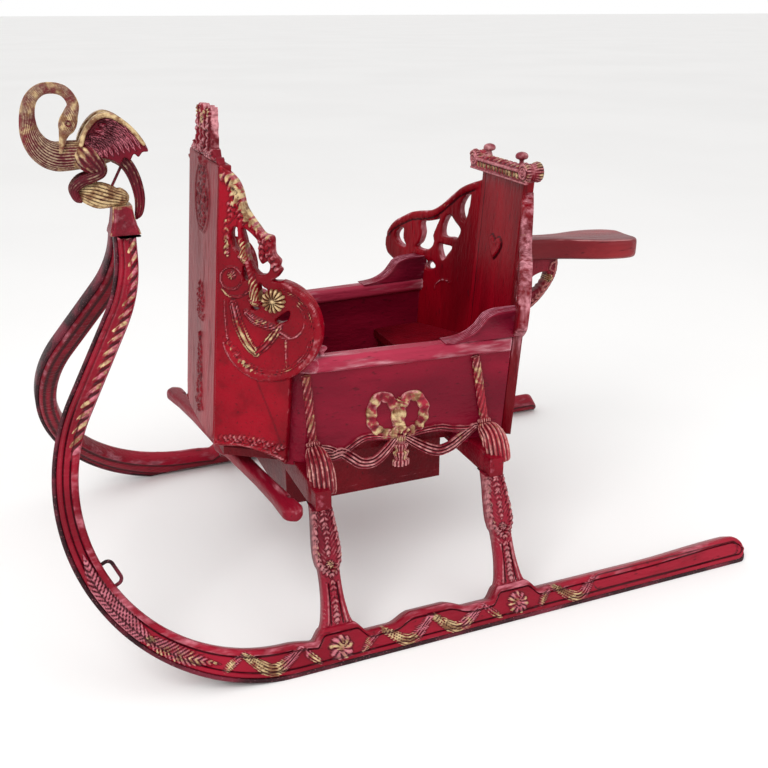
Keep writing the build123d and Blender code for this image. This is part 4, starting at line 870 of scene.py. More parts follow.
for side in ((1, 1), (-1, 1)):
    # Foliage of the oval, leaves of the spray, bellflowers of the drop. Columns: midrib, width, rise.
    for midrib, wide, rise in (
        (((0, 312), (13, 326), (29, 337)), 15, 3.2), (((1, 326), (16, 345), (36, 352)), 16, 3.4),
        (((1, 344), (14, 364), (34, 376)), 15, 3.4), (((1, 362), (10, 382), (24, 398)), 14, 3.2),
        (((0, 378), (5, 396), (3, 412)), 12, 3.0), (((4, 398), (14, 408), (30, 414)), 12, 4.2),
        (((2, 186), (14, 196), (24, 214)), 13, 3.4), (((1, 196), (9, 214), (8, 236)), 12, 3.6),
        (((1, 178), (12, 176), (26, 186)), 10, 3.0),
        (((0, 138), (8, 122), (6, 104)), 12, 3.2), (((0, 108), (10, 94), (8, 74)), 14, 3.4),
        (((0, 78), (12, 62), (10, 40)), 16, 3.6), (((0, 46), (16, 34), (30, 34)), 14, 3.2),
    ):
        carving.leaf(np.array(midrib) * side, wide, rise, 4, 0.1, 0.55)
    spiral = 13 * (1 - 0.6 * np.linspace(0, 1, 16))[:, None]
    carving.rib(arc((26, 356), spiral, -60, 330, 16) * side, 4, 2.8, 0.1, 0.6)
for level, radius in ((340, 8), (370, 7), (200, 7), (146, 6), (26, 7)):
    carving.flower((0, level), radius, 4.2, 8, 0.2, 0.5)
piece("front_panel", "carved", carving.form(panel_thick, 3, front_place), panel_paint)

# Crest: pierced spray of leaves on the top edge of the front panel.
# Painted wood, rubbed pink on its ridges, with traces of gilding near its top and along its cut sides.
crest_paint = painted("crest_paint", (132, 8, 32), (88, 4, 18), (206, 138, 144), rub=0.0)
crest_half = smooth_line((
    (90, 0), (80, 8), (68, 7), (60, 16), (51, 18), (49, 30), (44, 38), (46, 48), (41, 54), (40, 64), (36, 71),
    (26, 68), (17, 72), (8, 66), (3, 58), (0, 57),
), 70)
crest_outline = np.concatenate([crest_half, crest_half[-2::-1] * (-1, 1)])
crest_openings = [((0, 24), (7, 34), (2, 46), (-2, 46), (-7, 34))]
for loop in (
    ((20, 17), (29, 21), (30, 32), (23, 36), (18, 27)), ((16, 45), (25, 48), (26, 58), (19, 61), (14, 53)),
):
    crest_openings += [loop, np.array(loop) * (-1, 1)]
carving = Board(pierced(crest_outline, crest_openings, 30), (-91, 92), (-1, 74), 1.2)
for side in ((1, 1), (-1, 1)):
    # Columns: midrib, width, rise, gilding.
    for midrib, wide, rise, gilt in (
        (((2, 6), (12, 22), (9, 44)), 11, 4.5, 0.1), (((10, 38), (6, 54), (20, 68)), 12, 4.5, 0.6),
        (((8, 8), (32, 10), (40, 30)), 12, 4.5, 0.1), (((36, 22), (36, 42), (30, 60)), 12, 4.5, 0.3),
        (((20, 4), (48, 6), (82, 3)), 11, 4.0, 0.15), (((34, 54), (36, 62), (30, 70)), 9, 4.0, 0.8),
        (((40, 6), (56, 10), (60, 18)), 9, 4.0, 0.3),
    ):
        carving.leaf(np.array(midrib) * side, wide, rise, 4, gilt, 0.7)
    carving.rib(np.array(((4, 50), (14, 40), (26, 40), (33, 48))) * side, 4, 4, 0.1, 0.7)
carving.flower((0, 14), 9, 5, 8, 0.2, 0.6)
carving.flower((0, 51), 5, 5, 6, 0.8, 0.2)
carving.worn += 0.9 * smooth((1.2 - carving.away) / 1.2) * smooth((carving.B - 26) / 16)
form = carving.form(11.5, 2.5, lambda a, b, height: front_place(a, b + front_rise, height))
piece("front_crest", "carved", form, crest_paint)

# Back panel: tall raked board behind the seat, carved with one raised heart, between the rear wings.
# Painted wood, streaked crimson, bruised pale along its sides; glued and nailed.
back_paint = painted(
    "back_panel_paint", (152, 2, 26), (104, 0, 14), (196, 112, 118), rub=-0.12, grain=(1, 1, 0.14)
)
back_place = plane_place(back_base, [0, 1, 0], back_up)
back_rise = np.linalg.norm(back_up)
back_outline = [(-71.5, 0), (71.5, 0), (71.5, back_rise), (-71.5, back_rise)]
heart_half = smooth_line((
    (0, 236), (9, 244), (18, 256), (20.5, 265), (16, 272), (9, 273), (2, 268), (0, 265),
), 40)
heart = np.concatenate([heart_half, heart_half[-2:0:-1] * (-1, 1)])
carving = Board(pierced(back_outline), (-72, 74.5), (-1, 382.5), 2.4)
from_heart = edge_distance(carving.A, carving.B, heart)
carving.height = 4 * smooth((from_heart + 1) / 2.5) - 1.0 * smooth((from_heart - 4) / 4)
# Painted shadow in a ring round the raised heart.
carving.deep = 0.85 * np.exp(-((from_heart + 1.5) / 1.6) ** 2)
bruise = 0.45 * smooth((64 - np.abs(np.abs(carving.A) - 71.5)) / 64 - 0.88)
carving.worn = 0.4 * np.exp(-((from_heart - 2) / 1.5) ** 2) + bruise
carving.groove(((-58, 4), (-58, 200), (-58, 372)), 3, 0.9, 0.5)
piece("back_panel", "carved", carving.form(panel_thick, 2.5, back_place), back_paint)

# Capital: fluted bar across the top of the back between two rolled cushions, with two turned knobs.
# Carved wood, rubbed pink, gilding left in the flutes and on the top leaves; pegged down on the back panel.
capital_paint = painted("capital_paint", (158, 48, 62), (112, 16, 32), (204, 132, 138), rub=0.04)


def joined(*forms):
    """Several closed forms as one: their points, faces and tones strung together."""
    points, faces, start = [], [], 0
    for grid, corners, _ in forms:
        grid = grid.reshape(-1, 3)
        faces += [group + start for group in outward(grid, corners)]
        points.append(grid)
        start += len(grid)
    tones = {name: np.concatenate([form[2][name] for form in forms]) for name in forms[0][2]}
    return np.concatenate(points), faces, tones


def tube(
    path, radii, columns=24, flutes=0, depth=0.0, twist=0.0, across=(0, 1, 0), flat=1.0, gilt=0.0, worn=0.3
):
    """Closed form round a path: at each share of the way a ring of the table's radius times one plus a flute
    wave that winds as it goes. Rings hold the direction across, pressed along it to the share flat."""
    path = np.asarray(path, float)
    share = np.linspace(0, 1, len(path))
    radius = np.interp(share, *smooth_line(radii, 240).T)[:, None]
    turn = np.linspace(0, 2 * np.pi, columns, endpoint=False)[None, :]
    wave = np.ones((len(path), columns))
    if flutes:
        wave = np.cos(flutes * turn + 2 * np.pi * twist * share[:, None])
    ring = np.maximum(radius, 0.05) * (1 + depth * wave)
    way = np.gradient(path, axis=0)
    way /= np.linalg.norm(way, axis=1)[:, None]
    side = np.cross(way, across)
    side /= np.linalg.norm(side, axis=1)[:, None]
    over = np.cross(side, way)
    grid = path[:, None] + (ring * np.cos(turn))[..., None] * side[:, None]
    grid = grid + (flat * ring * np.sin(turn))[..., None] * over[:, None]
    crest = 0.5 + 0.5 * wave
    # Painted shade in the troughs of the flutes.
    return gridded(grid, gilt * (0.75 + 0.25 * crest), worn * (0.4 + 0.6 * crest), 0.55 * (1 - crest) ** 3)


def straight(start, end, count=30):
    """Points on a straight line."""
    start, end = np.array(start, float), np.array(end, float)
    return start + np.linspace(0, 1, count)[:, None] * (end - start)


bar_y = np.linspace(-93, 93, 330)[:, None]
# Columns: forward, height of the bar's profile, round from its lower front edge.
bar_profile = np.array([
    (-224, 602.2), (-223.2, 602.8), (-223.2, 604.6), (-224.6, 605.4), (-225, 606.6), (-224.6, 607.4),
    (-224.6, 609), (-224.6, 611.5), (-224.6, 614), (-224.6, 616), (-224.6, 617.4), (-223.4, 618.4),
    (-223.1, 620.4), (-224, 621.8), (-227, 622.6), (-230, 624.4), (-234, 626), (-238, 626.8), (-242, 626.4),
    (-247, 625), (-251, 622.6), (-254, 620), (-254.5, 612), (-254.5, 603), (-250, 602.2), (-238, 602.2),
])
past_end = smooth((np.abs(bar_y) - 78) / 4)
bar_x = np.maximum(bar_profile[:, 0], -254.5 + 24 * past_end)
bar_z = np.minimum(bar_profile[:, 1], 627 - 6.5 * past_end)
flute = 0.5 + 0.5 * np.cos(2 * np.pi * bar_y / 11)
in_flutes = smooth((bar_z - 606.5) / 2) * smooth((618 - bar_z) / 2) * (bar_x > -226)
in_flutes = in_flutes * smooth((82 - np.abs(bar_y)) / 3)
on_top = smooth((bar_z - 622.4) / 2)
leaf_wave = np.cos(2 * np.pi * (bar_y / 15 + 0.04 * np.abs(bar_x + 238)))
bar = np.stack([bar_x - 2.4 * in_flutes * flute, bar_y + 0 * bar_x, bar_z + 1.6 * on_top * leaf_wave], -1)
bar_gilt = 0.8 * in_flutes * (0.35 + 0.65 * flute) + 0.4 * on_top * (leaf_wave > 0.3)
# Painted shade in the flutes and between the leaves on top.
bar_deep = 0.5 * in_flutes * flute + 0.5 * on_top * (leaf_wave < -0.4)
capital = [gridded(bar, bar_gilt, 0.5 * (1 - in_flutes), bar_deep)]
cushion_y, cushion_z = 84, 619.5
cushion_radii = (
    (0, 12.5), (0.06, 15), (0.2, 15.6), (0.3, 13.6), (0.36, 12.4), (0.44, 13.6), (0.5, 12.2), (0.62, 14),
    (0.8, 15.8), (0.95, 15), (1, 12),
)
for sign in (1, -1):
    # Cushion: waisted roll from front to back, with the flat scroll of its end carved as a spiral rib.
    y = sign * cushion_y
    roll = straight((-224.5, y, cushion_z), (-255.5, y, cushion_z), 60)
    capital.append(tube(roll, cushion_radii, 40, 20, 0.03, 0.6, gilt=0.35, worn=0.6))
    turn = np.linspace(0.4, 4.4 * np.pi, 90)
    away = 12.6 * (1 - 0.82 * np.linspace(0, 1, 90))
    spiral = np.stack([
        np.full(90, -224.2), sign * (cushion_y + away * np.cos(turn)), cushion_z + away * np.sin(turn),
    ], -1)
    rib_radii = ((0, 1), (0.1, 1.9), (0.9, 1.5), (1, 2.4))
    capital.append(tube(spiral, rib_radii, 10, across=(1, 0, 0), gilt=0.25, worn=0.7))
piece("back_capital", "carved", joined(*capital), capital_paint)

knob_radii = (
    (0, 9), (0.06, 9.2), (0.16, 6.5), (0.3, 3.9), (0.42, 3.6), (0.5, 4.6), (0.56, 8.2), (0.64, 10),
    (0.76, 10.2), (0.88, 8.6), (0.96, 5.2), (1, 0.4),
)
knob_paint = painted("knob_paint", (168, 78, 90), (120, 40, 52), (208, 150, 152), rub=0.1)
stems = [straight((-239, y, 622.5), (-239, y, 647.6), 60) for y in (54, -54)]
knobs = joined(*[tube(stem, knob_radii, 28, worn=0.4) for stem in stems])
piece("capital_knobs", "turned", knobs, knob_paint)

# Sides: plain boards between the wings, sawn through behind the festoon, with moulded rails and turned knobs.
# Purplish red paint on the boards; the rails are worn to pale pink wood along their edges.
side_paint = painted(
    "side_paint", (138, 14, 42), (104, 4, 30), (180, 88, 104), rub=-0.08, grain=(0.3, 1, 0.8), edge=0.003
)
rail_paint = painted(
    "rail_paint", (176, 50, 76), (120, 10, 36), (226, 172, 182), rub=0.5, grain=(0.16, 1, 1), edge=0.006
)
dress(side_paint, "side_panel_left", "side_panel_right")
dress(rail_paint, "side_rail_left", "side_rail_right", "rail_knob_left", "rail_knob_right")

# Arm scrolls: ogee brackets on the rear ends of the rails, fluted over the top like a fan.
# Carved wood glued down on the rail, painted, pink on every ridge.
scroll_paint = painted(
    "scroll_paint", (142, 24, 50), (98, 8, 32), (204, 128, 146), rub=-0.06, grain=(0.4, 1, 1)
)
side_plane = plane_place(np.array([-148.5, 187, 0]), [0.9978, -0.0669, 0], [0, 0, 1])


def side_place(a, b, out):
    """Place on a side board's outer face: along it from the rear, height over the floor, distance out."""
    a, b, out = np.broadcast_arrays(a, b, out)
    return side_plane(a.ravel(), b.ravel(), -out.ravel()).reshape(*a.shape, 3)


scroll_line = smooth_line((
    (100, 393.4), (86, 394.4), (72, 397), (58, 402.5), (47, 410), (39, 419), (31, 427.5), (19, 432),
    (5, 433.8), (-14, 433.8),
), 90)
scroll_a, scroll_z = scroll_line[:, :1], scroll_line[:, 1:]
deep_in = np.linspace(0.2, 27.8, 64)[None, :]
ridge = np.abs(np.sin(np.pi * 6 * deep_in / 28))
top_z = scroll_z - 4.2 * (1 - ridge) * smooth((scroll_z - 393) / 12) * smooth((scroll_a + 20) / 20)
back_skew = 0.526 * deep_in * smooth((12 - scroll_a) / 24)
top = side_place(scroll_a - back_skew, top_z, 6 - deep_in)
foot = side_place(scroll_a - back_skew[:, [-1, 0]], 392, 6 - deep_in[:, [-1, 0]])
on_ridge = np.append(0.95 * ridge**2, [[0, 0]], 1)
# Painted shade in the furrows between the ridges.
in_furrow = np.append(0.6 * (1 - ridge) ** 2, [[0, 0]], 1)
form = gridded(np.concatenate([top, foot], 1), 0, on_ridge, in_furrow)
pair("arm_scroll", "carved", form, scroll_paint)

# Ribbon bow and festoon: bands of carved cloth on each side board, tied at the middle over a tiered tassel.
# Gilded wood rubbed back to pink and red, glued and pinned on; the swags hang below the board's edge.
cloth_paint = painted("cloth_paint", (166, 40, 60), (110, 16, 32), (218, 150, 150), rub=0.04)


def ribbon(line, wide, proud, pleats=0, ends=0.6, strands=1, gilt=0.4, worn=0.5):
    """Band on the side board along a curve: a flat-topped hump across, furrowed into strands, and pinched by
    pleats that cross it as it goes."""
    line = smooth_line(line, 92)
    share = np.linspace(0, 1, len(line))[:, None]
    way = np.gradient(line, axis=0)
    way /= np.linalg.norm(way, axis=1)[:, None]
    turn = np.linspace(0, 2 * np.pi, 28, endpoint=False)[None, :]
    across = np.cos(turn)
    pleat = np.cos(2 * np.pi * (pleats * share + 0.12 * across + 0.6 * np.sin(5 * share)))
    furrow = 0.5 + 0.5 * np.cos(np.pi * strands * (across + 1)) + 0 * share
    half = wide / 2 * (ends + (1 - ends) * np.sin(np.pi * share) ** 0.6) * (1 + 0.1 * pleat * (pleats > 0))
    top = np.clip(np.abs(np.sin(turn)) ** 0.4 * np.sign(np.sin(turn)), -0.1, 1) * (0.82 + 0.18 * across**4)
    out = proud * top * (0.7 + 0.3 * (pleat if pleats else furrow)) * (0.72 + 0.28 * furrow)
    a, b = line[:, :1] - half * across * way[:, 1:], line[:, 1:] + half * across * way[:, :1]
    crest = 0.5 + 0.5 * pleat if pleats else furrow
    # Painted shade in the troughs between pleats and strands.
    painted_shade = 0.3 * (1 - crest) ** 3 + 0.12 * (1 - furrow) ** 2
    return gridded(side_place(a, b, out), gilt * (0.7 + 0.3 * crest), worn * (0.45 + 0.55 * furrow), painted_shade)


# Two loops, then the band between them and the knot. Columns: line, width, rise, pleats, ends, gilding.
bow = []
for line, wide, rise, pleats, ends, gilt in (
    (((166, 256), (148, 258), (137, 268), (132, 285), (134, 300), (143, 312), (155, 315), (165, 306),
      (171, 292), (173, 278), (171, 264)), 16, 7.5, 9, 0.85, 0.44),
    (((176, 256), (196, 258), (209, 267), (216, 280), (216, 297), (211, 312), (201, 319), (190, 315),
      (182, 305), (178, 290), (176, 268)), 16, 7.5, 9, 0.85, 0.44),
    (((166, 312), (170, 300), (172, 284), (172, 266)), 19, 9, 5, 0.8, 0.55),
    (((154, 252), (164, 259), (171, 262), (180, 258), (188, 251)), 14, 9, 4, 0.5, 0.55),
):
    bow.append(ribbon(line, wide, rise, pleats, ends, gilt=gilt, worn=0.7))
pair("side_bow", "carved", joined(*bow), cloth_paint)
# Upper and lower swag of each half. Columns: line, width, rise, strands, gilding.
festoon = []
for line, wide, rise, strands, gilt in (
    (((160, 250), (132, 255), (105, 256), (84, 251), (60, 248), (42, 251)), 10, 7, 2, 0.15),
    (((162, 247), (142, 233), (122, 221), (105, 216), (86, 221), (66, 235), (46, 250)), 17, 9, 3, 0.2),
    (((180, 250), (205, 255), (225, 256), (240, 250), (255, 240), (266, 236), (281, 245), (295, 250)),
     10, 7, 2, 0.15),
    (((178, 247), (191, 231), (206, 217), (220, 212), (236, 215), (250, 226), (264, 236), (280, 233),
      (295, 238)), 17, 9, 3, 0.2),
):
    festoon.append(ribbon(line, wide, rise, 0, 0.6, strands, gilt, 0.45))
tier_radii = (
    (0, 5), (0.1, 8), (0.26, 6), (0.32, 10.5), (0.5, 7.5), (0.56, 12), (0.78, 8.5), (0.84, 12.5), (1, 12.5),
)
hang = side_place(169.5, np.linspace(252, 202, 90), 3.5)
festoon.append(tube(hang, tier_radii, 60, 12, 0.12, 0.1, flat=0.62, gilt=0.35, worn=0.7))
pair("side_festoon", "carved", joined(*festoon), cloth_paint)

# Rope drops: twisted ropes that lean down the side boards and end in flared tassels over the bolster ends.
# Carved wood, gilded, the tassels rubbed back to pink; pegged to board and bolster.
rope_paint = painted("rope_paint", (168, 44, 58), (116, 20, 34), (222, 160, 152), rub=0.05)
tassel_radii = (
    (0, 6), (0.06, 9.4), (0.16, 9.4), (0.2, 8), (0.28, 11), (0.5, 16), (0.75, 19), (0.95, 18.5), (1, 16),
)
# Columns: name, rope's place along the side at its head and foot, forward place of the tassel's end.
for name, head_a, foot_a, end_x in (("rope_front", 315.9, 306.9, 164), ("rope_rear", 50.3, 26.3, -123)):
    levels = np.linspace(367, 262, 90)
    rope = side_place(foot_a + (head_a - foot_a) * (levels - 228) / 140, levels, 3.6)
    start, end = rope[-1], np.array([end_x, 230, 203])
    fall = smooth_line((start, start + [0, 8, -12], start * 0.45 + end * 0.55 + [0, 6, 8], end), 60)
    form = joined(
        tube(rope, ((0, 6.2), (1, 6.4)), 40, 5, 0.1, 6.5, across=(1, 0, 0), gilt=0.3, worn=0.45),
        tube(fall, tassel_radii, 80, 16, 0.08, 0.5, across=(1, 0, 0), gilt=0.2, worn=0.5),
    )
    pair(name, "carved", form, rope_paint)

# Saddle: narrow seat behind the back for the person who pushes, shaped from one thick plank.
# Polished red-brown wood, its upper edges painted pale as a highlight, its underside painted in shade; housed
# in the back panel.
saddle_paint = painted(
    "saddle_paint", (156, 44, 48), (108, 24, 32), (206, 142, 142), rub=-0.06, rough=0.3, grain=(0.1, 1, 1)
)
saddle_end = -498
saddle_x = np.concatenate([-497.8 + 16 * np.linspace(0, 1, 24) ** 2, np.linspace(-481, -247, 90)])[:, None]
plan = smooth_line((
    (saddle_end, 6), (-497, 20), (-493, 33), (-485, 43), (-470, 50), (-451, 52), (-427, 50.5), (-399, 44),
    (-371, 34), (-343, 26), (-315, 22.5), (-280, 22), (-240, 22),
), 300)
saddle_half = np.interp(saddle_x, *plan.T)
climb = (saddle_x + 508) * np.tan(np.radians(2.7))
saddle_top = 483.6 + climb - round_over(saddle_x - saddle_end, 9)
saddle_low = 446 + climb + round_over(saddle_x - saddle_end, 14)
turn, ring_y, ring_z = squared_ring(72, 0.34, 0.1)
saddle_z = (saddle_top + saddle_low) / 2 + (saddle_top - saddle_low) / 2 * ring_z
saddle_z = saddle_z - 1.6 * (ring_z > 0.9) * (1 - ring_y**2) * smooth((-330 - saddle_x) / 60)
points = np.stack([saddle_x + 0 * turn, saddle_half * ring_y, saddle_z], -1)
# Painted highlight along the upper edges, given as the worn share; painted shade on the underside.
lit_edge = np.exp(-((np.sin(turn) - 0.72) / 0.16) ** 2) * smooth((np.abs(ring_y) - 0.6) / 0.3)
form = gridded(points, 0, 0.8 * lit_edge, 0.4 * smooth(-np.sin(turn) * 2 - 0.6))
piece("saddle", "shaped", form, saddle_paint)

# Saddle bracket: pierced console under the saddle, carved alike on both faces, screwed to the back panel.
# Painted wood with a gilded bunch of grapes where the arm springs.
bracket_paint = painted("bracket_paint", (136, 26, 44), (92, 14, 28), (190, 122, 116), rub=0.02)
bracket_half = 10
arm_edge = smooth_line((
    (-349, 455), (-349.5, 440), (-345, 420), (-330, 396), (-308, 374), (-281, 356), (-288, 348), (-286, 336),
    (-272, 327), (-236, 324),
), 70)
lens = (
    (-292, 397), (-289, 408), (-297, 422), (-312, 430), (-329, 431), (-328, 418), (-317, 405), (-304, 398),
)
bracket_outline = np.concatenate([arm_edge, [(-245, 460)]])
carving = Board(pierced(bracket_outline, [lens], 40), (-351, -234), (322, 462), 1.6)
carving.rib(arm_edge[4:44:4] + (5, 3), 5, 2.4, 0.05, 0.7, count=60)
carving.leaf(((-300, 382), (-320, 400), (-338, 432)), 13, 3.2, 6, 0.15, 0.6)
carving.leaf(((-262, 378), (-254, 356), (-262, 334)), 16, 3.2, 5, 0.3, 0.5)
carving.rib(((-345, 448), (-336, 446), (-333, 436), (-340, 432)), 4, 2.6, 0.1, 0.6)
carving.flower((-332, 420), 7, 4, 8, 0.8, 0.2)
for row, grapes in enumerate((4, 5, 4, 3, 2, 1)):
    for k in range(grapes):
        a, b = -279 + 6.4 * (k - (grapes - 1) / 2) + 1.5 * row, 408 - 6.2 * row
        grape = dome(np.hypot(carving.A - a, carving.B - b) / 3.9)
        carving.lift(5.5 * grape, 0.95 * grape, 0.1 * grape)
form = carving.form(
    2 * bracket_half, 3, lambda a, b, height: np.stack([a, bracket_half + height, b], -1), alike=True
)
piece("saddle_bracket", "carved", form, bracket_paint)

# Swingletree: waisted bar under the front that swings on its pin, with a notch near each lobed end.
# Turned and shaped wood, paler pink on its top and ends, its underside painted darker as shade; it rides on
# the moving body.
tree_paint = painted(
    "tree_paint", (164, 26, 48), (114, 8, 30), (214, 142, 152), rub=0.0, grain=(1, 0.2, 1)
)
pin_x, tree_z = 254, 198
lobe_y, lobe_radius = 252, 15.6
quarter = np.linspace(0, np.pi / 2, 22)
tree_along = np.concatenate([
    -lobe_y - lobe_radius * np.cos(quarter),
    np.linspace(-250, 250, 150),
    lobe_y + lobe_radius * np.sin(quarter),
])[:, None]
far = np.abs(tree_along)
lobe = np.sqrt(np.clip(lobe_radius**2 - np.clip(far - lobe_y, 0, None) ** 2, 0.04, None))
stations = (0, 14, 24, 60, 137, 205, 232, 252)
front_edge, rear_edge = (np.where(far > lobe_y, lobe, np.interp(far, stations, widths)) for widths in (
    (19.2, 17, 12.6, 11.4, 10, 11.5, 14, 15.6), (19.2, 17, 12.8, 12.2, 12.4, 14, 15, 15.6),
))
rear_edge = rear_edge - 7 * dome((far - 224) / 7)
turn, ring_x, ring_z = squared_ring(40, 0.55)
ahead = np.where(ring_x > 0, front_edge, rear_edge) * ring_x
level = tree_z + 9.8 * ring_z * (0.86 + 0.14 * smooth((269 - far) / 12))
skew = np.radians(8)
tree_x = pin_x + ahead * np.cos(skew) - tree_along * np.sin(skew)
points = np.stack([tree_x, ahead * np.sin(skew) + tree_along * np.cos(skew), level], -1)
# Paler on the top half and towards the ends; painted shade on the underside.
paler_top_and_ends = 0.3 * smooth(ring_z * 1.5) + 0.15 * smooth((far - 225) / 30)
form = gridded(points, 0, paler_top_and_ends, 0.3 * smooth(-ring_z))
piece("swingletree", "shaped", form, tree_paint, "swingletree")

# Horn block: tapered block that ties the two horn tips and carries the figurehead.
# Carved and painted wood, pegged between the tips; gilding left on its corners and along its top.
block_paint = painted("block_paint", (150, 30, 50), (104, 10, 28), (200, 124, 132), rub=0.0)
block_z = np.linspace(560.2, 599.8, 40)[:, None]
block_long = np.interp(block_z, (560, 566, 572, 588, 600), (21.9, 20.4, 18, 15, 13.8))
block_wide = np.interp(block_z, (560, 572, 588, 600), (24.5, 21, 18, 16))
turn, ring_x, ring_y = squared_ring(96, 0.15)
furrow = 0.5 + 0.5 * np.cos(16 * turn)
scallop = 1 - 0.035 * furrow * smooth((block_z - 564) / 6) * smooth((598 - block_z) / 8)
block_x = box_mm("horn_block")[:, 0].mean()
points = np.stack([
    block_x + block_long * ring_x * scallop, block_wide * ring_y * scallop, block_z + 0 * turn,
], -1)
at_corner = smooth((np.abs(np.sin(2 * turn)) - 0.75) / 0.2)
block_gilt = 0.45 * at_corner + 0.35 * smooth((block_z - 590) / 6)
# Painted shade in the furrows of the scallops.
piece("horn_block", "carved", gridded(points, block_gilt, 0.5, 0.35 * furrow), block_paint)

# Bud: gadrooned flower bud that lies on the block and points forward under the bird.
# Gilded wood, turned and carved, pegged on.
bird_paint = painted(
    "bird_paint", (122, 26, 42), (78, 16, 28), (178, 152, 126), rub=0.04, grain=(1.6, 1.6, 1.6)
)
bud_radii = (
    (0, 4), (0.06, 9), (0.16, 12.5), (0.24, 12), (0.3, 14), (0.48, 17), (0.64, 16.4), (0.8, 12.2),
    (0.92, 6.5), (1, 1.2),
)
bud_line = straight((369, 0, 608), (443, 0, 621), 70)
bud = tube(bud_line, bud_radii, 108, 18, 0.09, 2.6, gilt=0.62, worn=0.5)
piece("bud", "carved", bud, bird_paint)

# Swan: body, looped neck and head are one carved piece that stands on the bud on two feathered legs.
# Gilded wood, the neck lined with plumage; the head lies against the left flank, its bill on the breast.
swan_line = smooth_line((
    (379, 0, 668), (392, 0, 671), (410, 0, 673), (438, 0, 672), (462, 0, 672), (479, 0, 682), (489, 0, 700),
    (491, 0, 720), (488, 0, 738), (481, 0, 751), (469, 0, 759.5), (455, 0, 761), (442, 1, 757.5),
    (434, 3, 749), (431, 6, 738), (436, 9, 726), (442, 12, 713), (448, 15, 701), (452, 18, 689),
    (455, 20, 677),
), 220)
swan_radii = (
    (0, 2), (0.03, 9), (0.08, 15), (0.14, 19), (0.2, 19.6), (0.26, 17), (0.32, 13), (0.38, 10), (0.46, 8.2),
    (0.55, 7.4), (0.64, 7.2), (0.72, 7.4), (0.78, 9.4), (0.82, 11.4), (0.855, 10.6), (0.885, 7), (0.92, 4.6),
    (0.96, 3.4), (1, 1.2),
)
leg_radii = (
    (0, 4), (0.05, 14), (0.11, 18.5), (0.17, 17), (0.25, 12.5), (0.33, 8.6), (0.45, 7.4), (0.6, 7), (0.78, 6),
    (0.92, 4.8), (1, 1.5),
)
plume_gilt = np.interp(
    np.linspace(0, 1, 220), (0, 0.12, 0.25, 0.45, 0.7, 1), (0.5, 0.45, 0.2, 0.44, 0.34, 0.5)
)[:, None]
haunch_gilt = np.interp(np.linspace(0, 1, 100), (0, 0.1, 0.2, 0.3, 1), (0.55, 0.5, 0.3, 0.12, 0.22))[:, None]
swan = [tube(swan_line, swan_radii, 150, 30, 0.035, 6, flat=0.92, gilt=plume_gilt, worn=0.95)]
eye_x, eye_z = 441, 716.5
for sign in (1, -1):
    # Eye with its lid, thigh and shin of one side.
    eye_y = 11 + sign * 11.2
    ring = np.linspace(0, 2 * np.pi, 40)
    lid = np.stack([eye_x + 3.4 * np.cos(ring), np.full(40, eye_y), eye_z + 3.4 * np.sin(ring)], -1)
    ball = straight((eye_x, eye_y - sign * 5, eye_z), (eye_x, eye_y + sign, eye_z), 12)
    leg = smooth_line(np.array((
        (434, 7, 684), (420, 11, 668), (406, 13, 651), (416, 13, 643), (432, 12, 637), (442, 10, 627),
        (441, 9, 616), (434, 7, 608),
    )) * (1, sign, 1), 100)
    swan += [
        tube(lid, ((0, 1.1), (1, 1.1)), 8, worn=0.0),
        tube(ball, ((0, 2), (0.6, 2), (1, 0.3)), 14, across=(1, 0, 0), worn=0.9),
        tube(leg, leg_radii, 60, 12, 0.05, 2.5, flat=0.8, gilt=haunch_gilt, worn=0.5),
    ]
piece("bird_body", "carved", joined(*swan), bird_paint)

# Bird tail: sheaf of long feathers that drops from the rump behind the block, with a thin iron strut.
# Carved with the bird, gilded and rubbed back to red.
tail_line = smooth_line((
    (390, 0, 670), (377, 0, 665), (366, 0, 653), (358, 0, 634), (354, 0, 610), (356, 0, 590), (361.5, 0, 577),
), 90)
tail_radii = ((0, 5), (0.1, 9), (0.4, 8.2), (0.7, 7), (0.9, 5), (1, 1))
tail = joined(
    tube(tail_line, tail_radii, 72, 9, 0.1, 0.9, gilt=0.16, worn=0.45),
    tube(straight((374, 0, 656), (391, 0, 626), 20), ((0, 2), (1, 2)), 12, worn=0.1),
)
piece("bird_tail", "carved", tail, bird_paint)

# Bird wings: two raised wings of layered feathers, glued against the swan's flanks.
# Gilded leading edges, the feathers worn back to red.
plume_paint = painted("plume_paint", (140, 16, 40), (94, 6, 26), (196, 110, 124), rub=-0.04)
feather_edge = smooth_line((
    (430, 686), (424, 704), (410, 721), (394, 729), (378, 725), (360, 711), (346, 693), (338, 675),
    (346, 673), (352, 667), (358, 671), (364, 663), (371, 667), (378, 659), (388, 664), (400, 668),
    (415, 675),
), 120, closed=True)
carving = Board(pierced(feather_edge), (335, 434), (655, 732), 1.1)
from_root = np.hypot(carving.A - 402, carving.B - 704)
# Painted shade in a ring round a point near the feathers' roots.
carving.deep += 0.55 * smooth((from_root - 4) / 14) * smooth((30 - from_root) / 22)
# Flight feathers, then two rows of coverts. Columns: first and last root, first and last tip, number, width,
# rise.
for roots, tips, number, wide, rise in (
    (((412, 684), (376, 716)), ((402, 667), (340, 678)), 9, 9, 3.0),
    (((416, 687), (384, 718)), ((405, 674), (358, 695)), 7, 9, 4.2),
    (((420, 690), (392, 720)), ((409, 682), (374, 710)), 5, 8, 5.0),
):
    for root, tip in zip(straight(*roots, number), straight(*tips, number)):
        bow_out = 0.12 * np.array([root[1] - tip[1], tip[0] - root[0]])
        carving.leaf((root, (root + tip) / 2 - bow_out, tip), wide, rise, 2, 0.1, 0.85, 0.7, 3, 0.05)
leading_edge = ((428, 688), (422, 703), (409, 719), (394, 726), (378, 722), (361, 709), (344, 686))
carving.rib(leading_edge, 11, 6.5, 0.6, 0.4, 0.8, count=60)
form = carving.form(7, 2, lambda a, b, height: np.stack([a, np.clip(17 + height, 10, 22.9), b], -1))
pair("bird_wing", "carved", form, plume_paint)

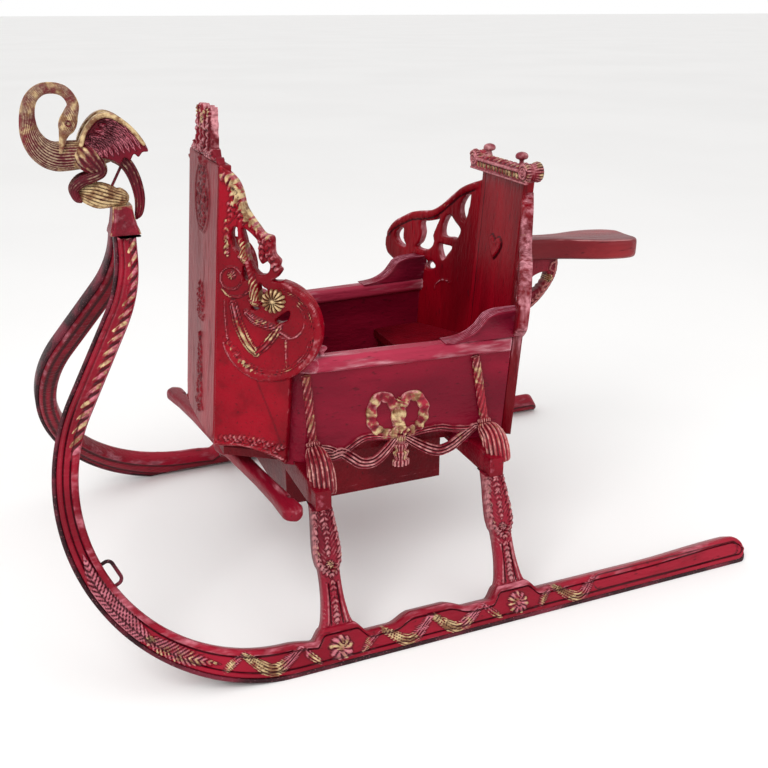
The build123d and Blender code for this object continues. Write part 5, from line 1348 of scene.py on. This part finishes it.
# Studio: pale floor, two large soft lamps and even room light.
# It is seen from the height of a standing adult, at the photo's angle.
floor_mesh = bpy.data.meshes.new("studio_floor")
span = 90
floor_corners = [(-span, -span, 0), (span, -span, 0), (span, span, 0), (-span, span, 0)]
floor_mesh.from_pydata(floor_corners, [], [(0, 1, 2, 3)])
floor = bpy.data.objects.new("studio_floor", floor_mesh)
bpy.context.scene.collection.objects.link(floor)
floor_finish = Finish("studio_floor")
floor_cloud = floor_finish.rise(floor_finish.noise(0.6), 0.3, 0.7)
floor_tone = floor_finish.mix(floor_cloud, (247, 246, 245), (250, 249, 248))
floor_mesh.materials.append(floor_finish.surface(Base_Color=floor_tone, Roughness=0.9))

world = bpy.data.worlds.new("studio")
bpy.context.scene.world = world
room = Nodes(world)
rays = room.node("ShaderNodeLightPath").outputs
seen = room.node(
    "ShaderNodeMath", {"operation": "MAXIMUM"}, _0=rays["Is Camera Ray"], _1=rays["Is Transmission Ray"]
)
strength = room.node("ShaderNodeMapRange", Value=seen.outputs[0], To_Min=0.9, To_Max=1.0)
room.feed(room.tree.nodes["Background"], Color=(1, 1, 1, 1), Strength=strength.outputs[0])

# Columns: name, place, aim, size, power.
for name, place, aim, size, power in (
    ("key_lamp", (1.6, 1.5, 2.6), (0, 0, 0.3), 1.6, 38),
    ("fill_lamp", (-1.8, 2.0, 1.8), (0, 0, 0.3), 2.0, 12),
):
    lamp = bpy.data.lights.new(name, "AREA")
    lamp.size = size
    lamp.energy = power
    holder = bpy.data.objects.new(name, lamp)
    bpy.context.scene.collection.objects.link(holder)
    holder.location = place
    way = np.array(aim) - np.array(place)
    turn_up = np.arctan2(np.hypot(way[0], way[1]), -way[2])
    holder.rotation_euler = (turn_up, 0, np.arctan2(way[1], way[0]) - np.pi / 2)

camera = bpy.data.cameras.new("photo_camera")
camera.sensor_width = 36
camera.lens = 44.28
viewer = bpy.data.objects.new("photo_camera", camera)
bpy.context.scene.collection.objects.link(viewer)
viewer.location = (0.54322, 1.38584, 0.86309)
tilt_down, heading = np.radians(21.84), np.arctan2(-0.85904, -0.35166)
viewer.rotation_euler = (np.pi / 2 - tilt_down, 0, heading - np.pi / 2)
bpy.context.scene.camera = viewer
bpy.context.scene.view_settings.view_transform = "Standard"
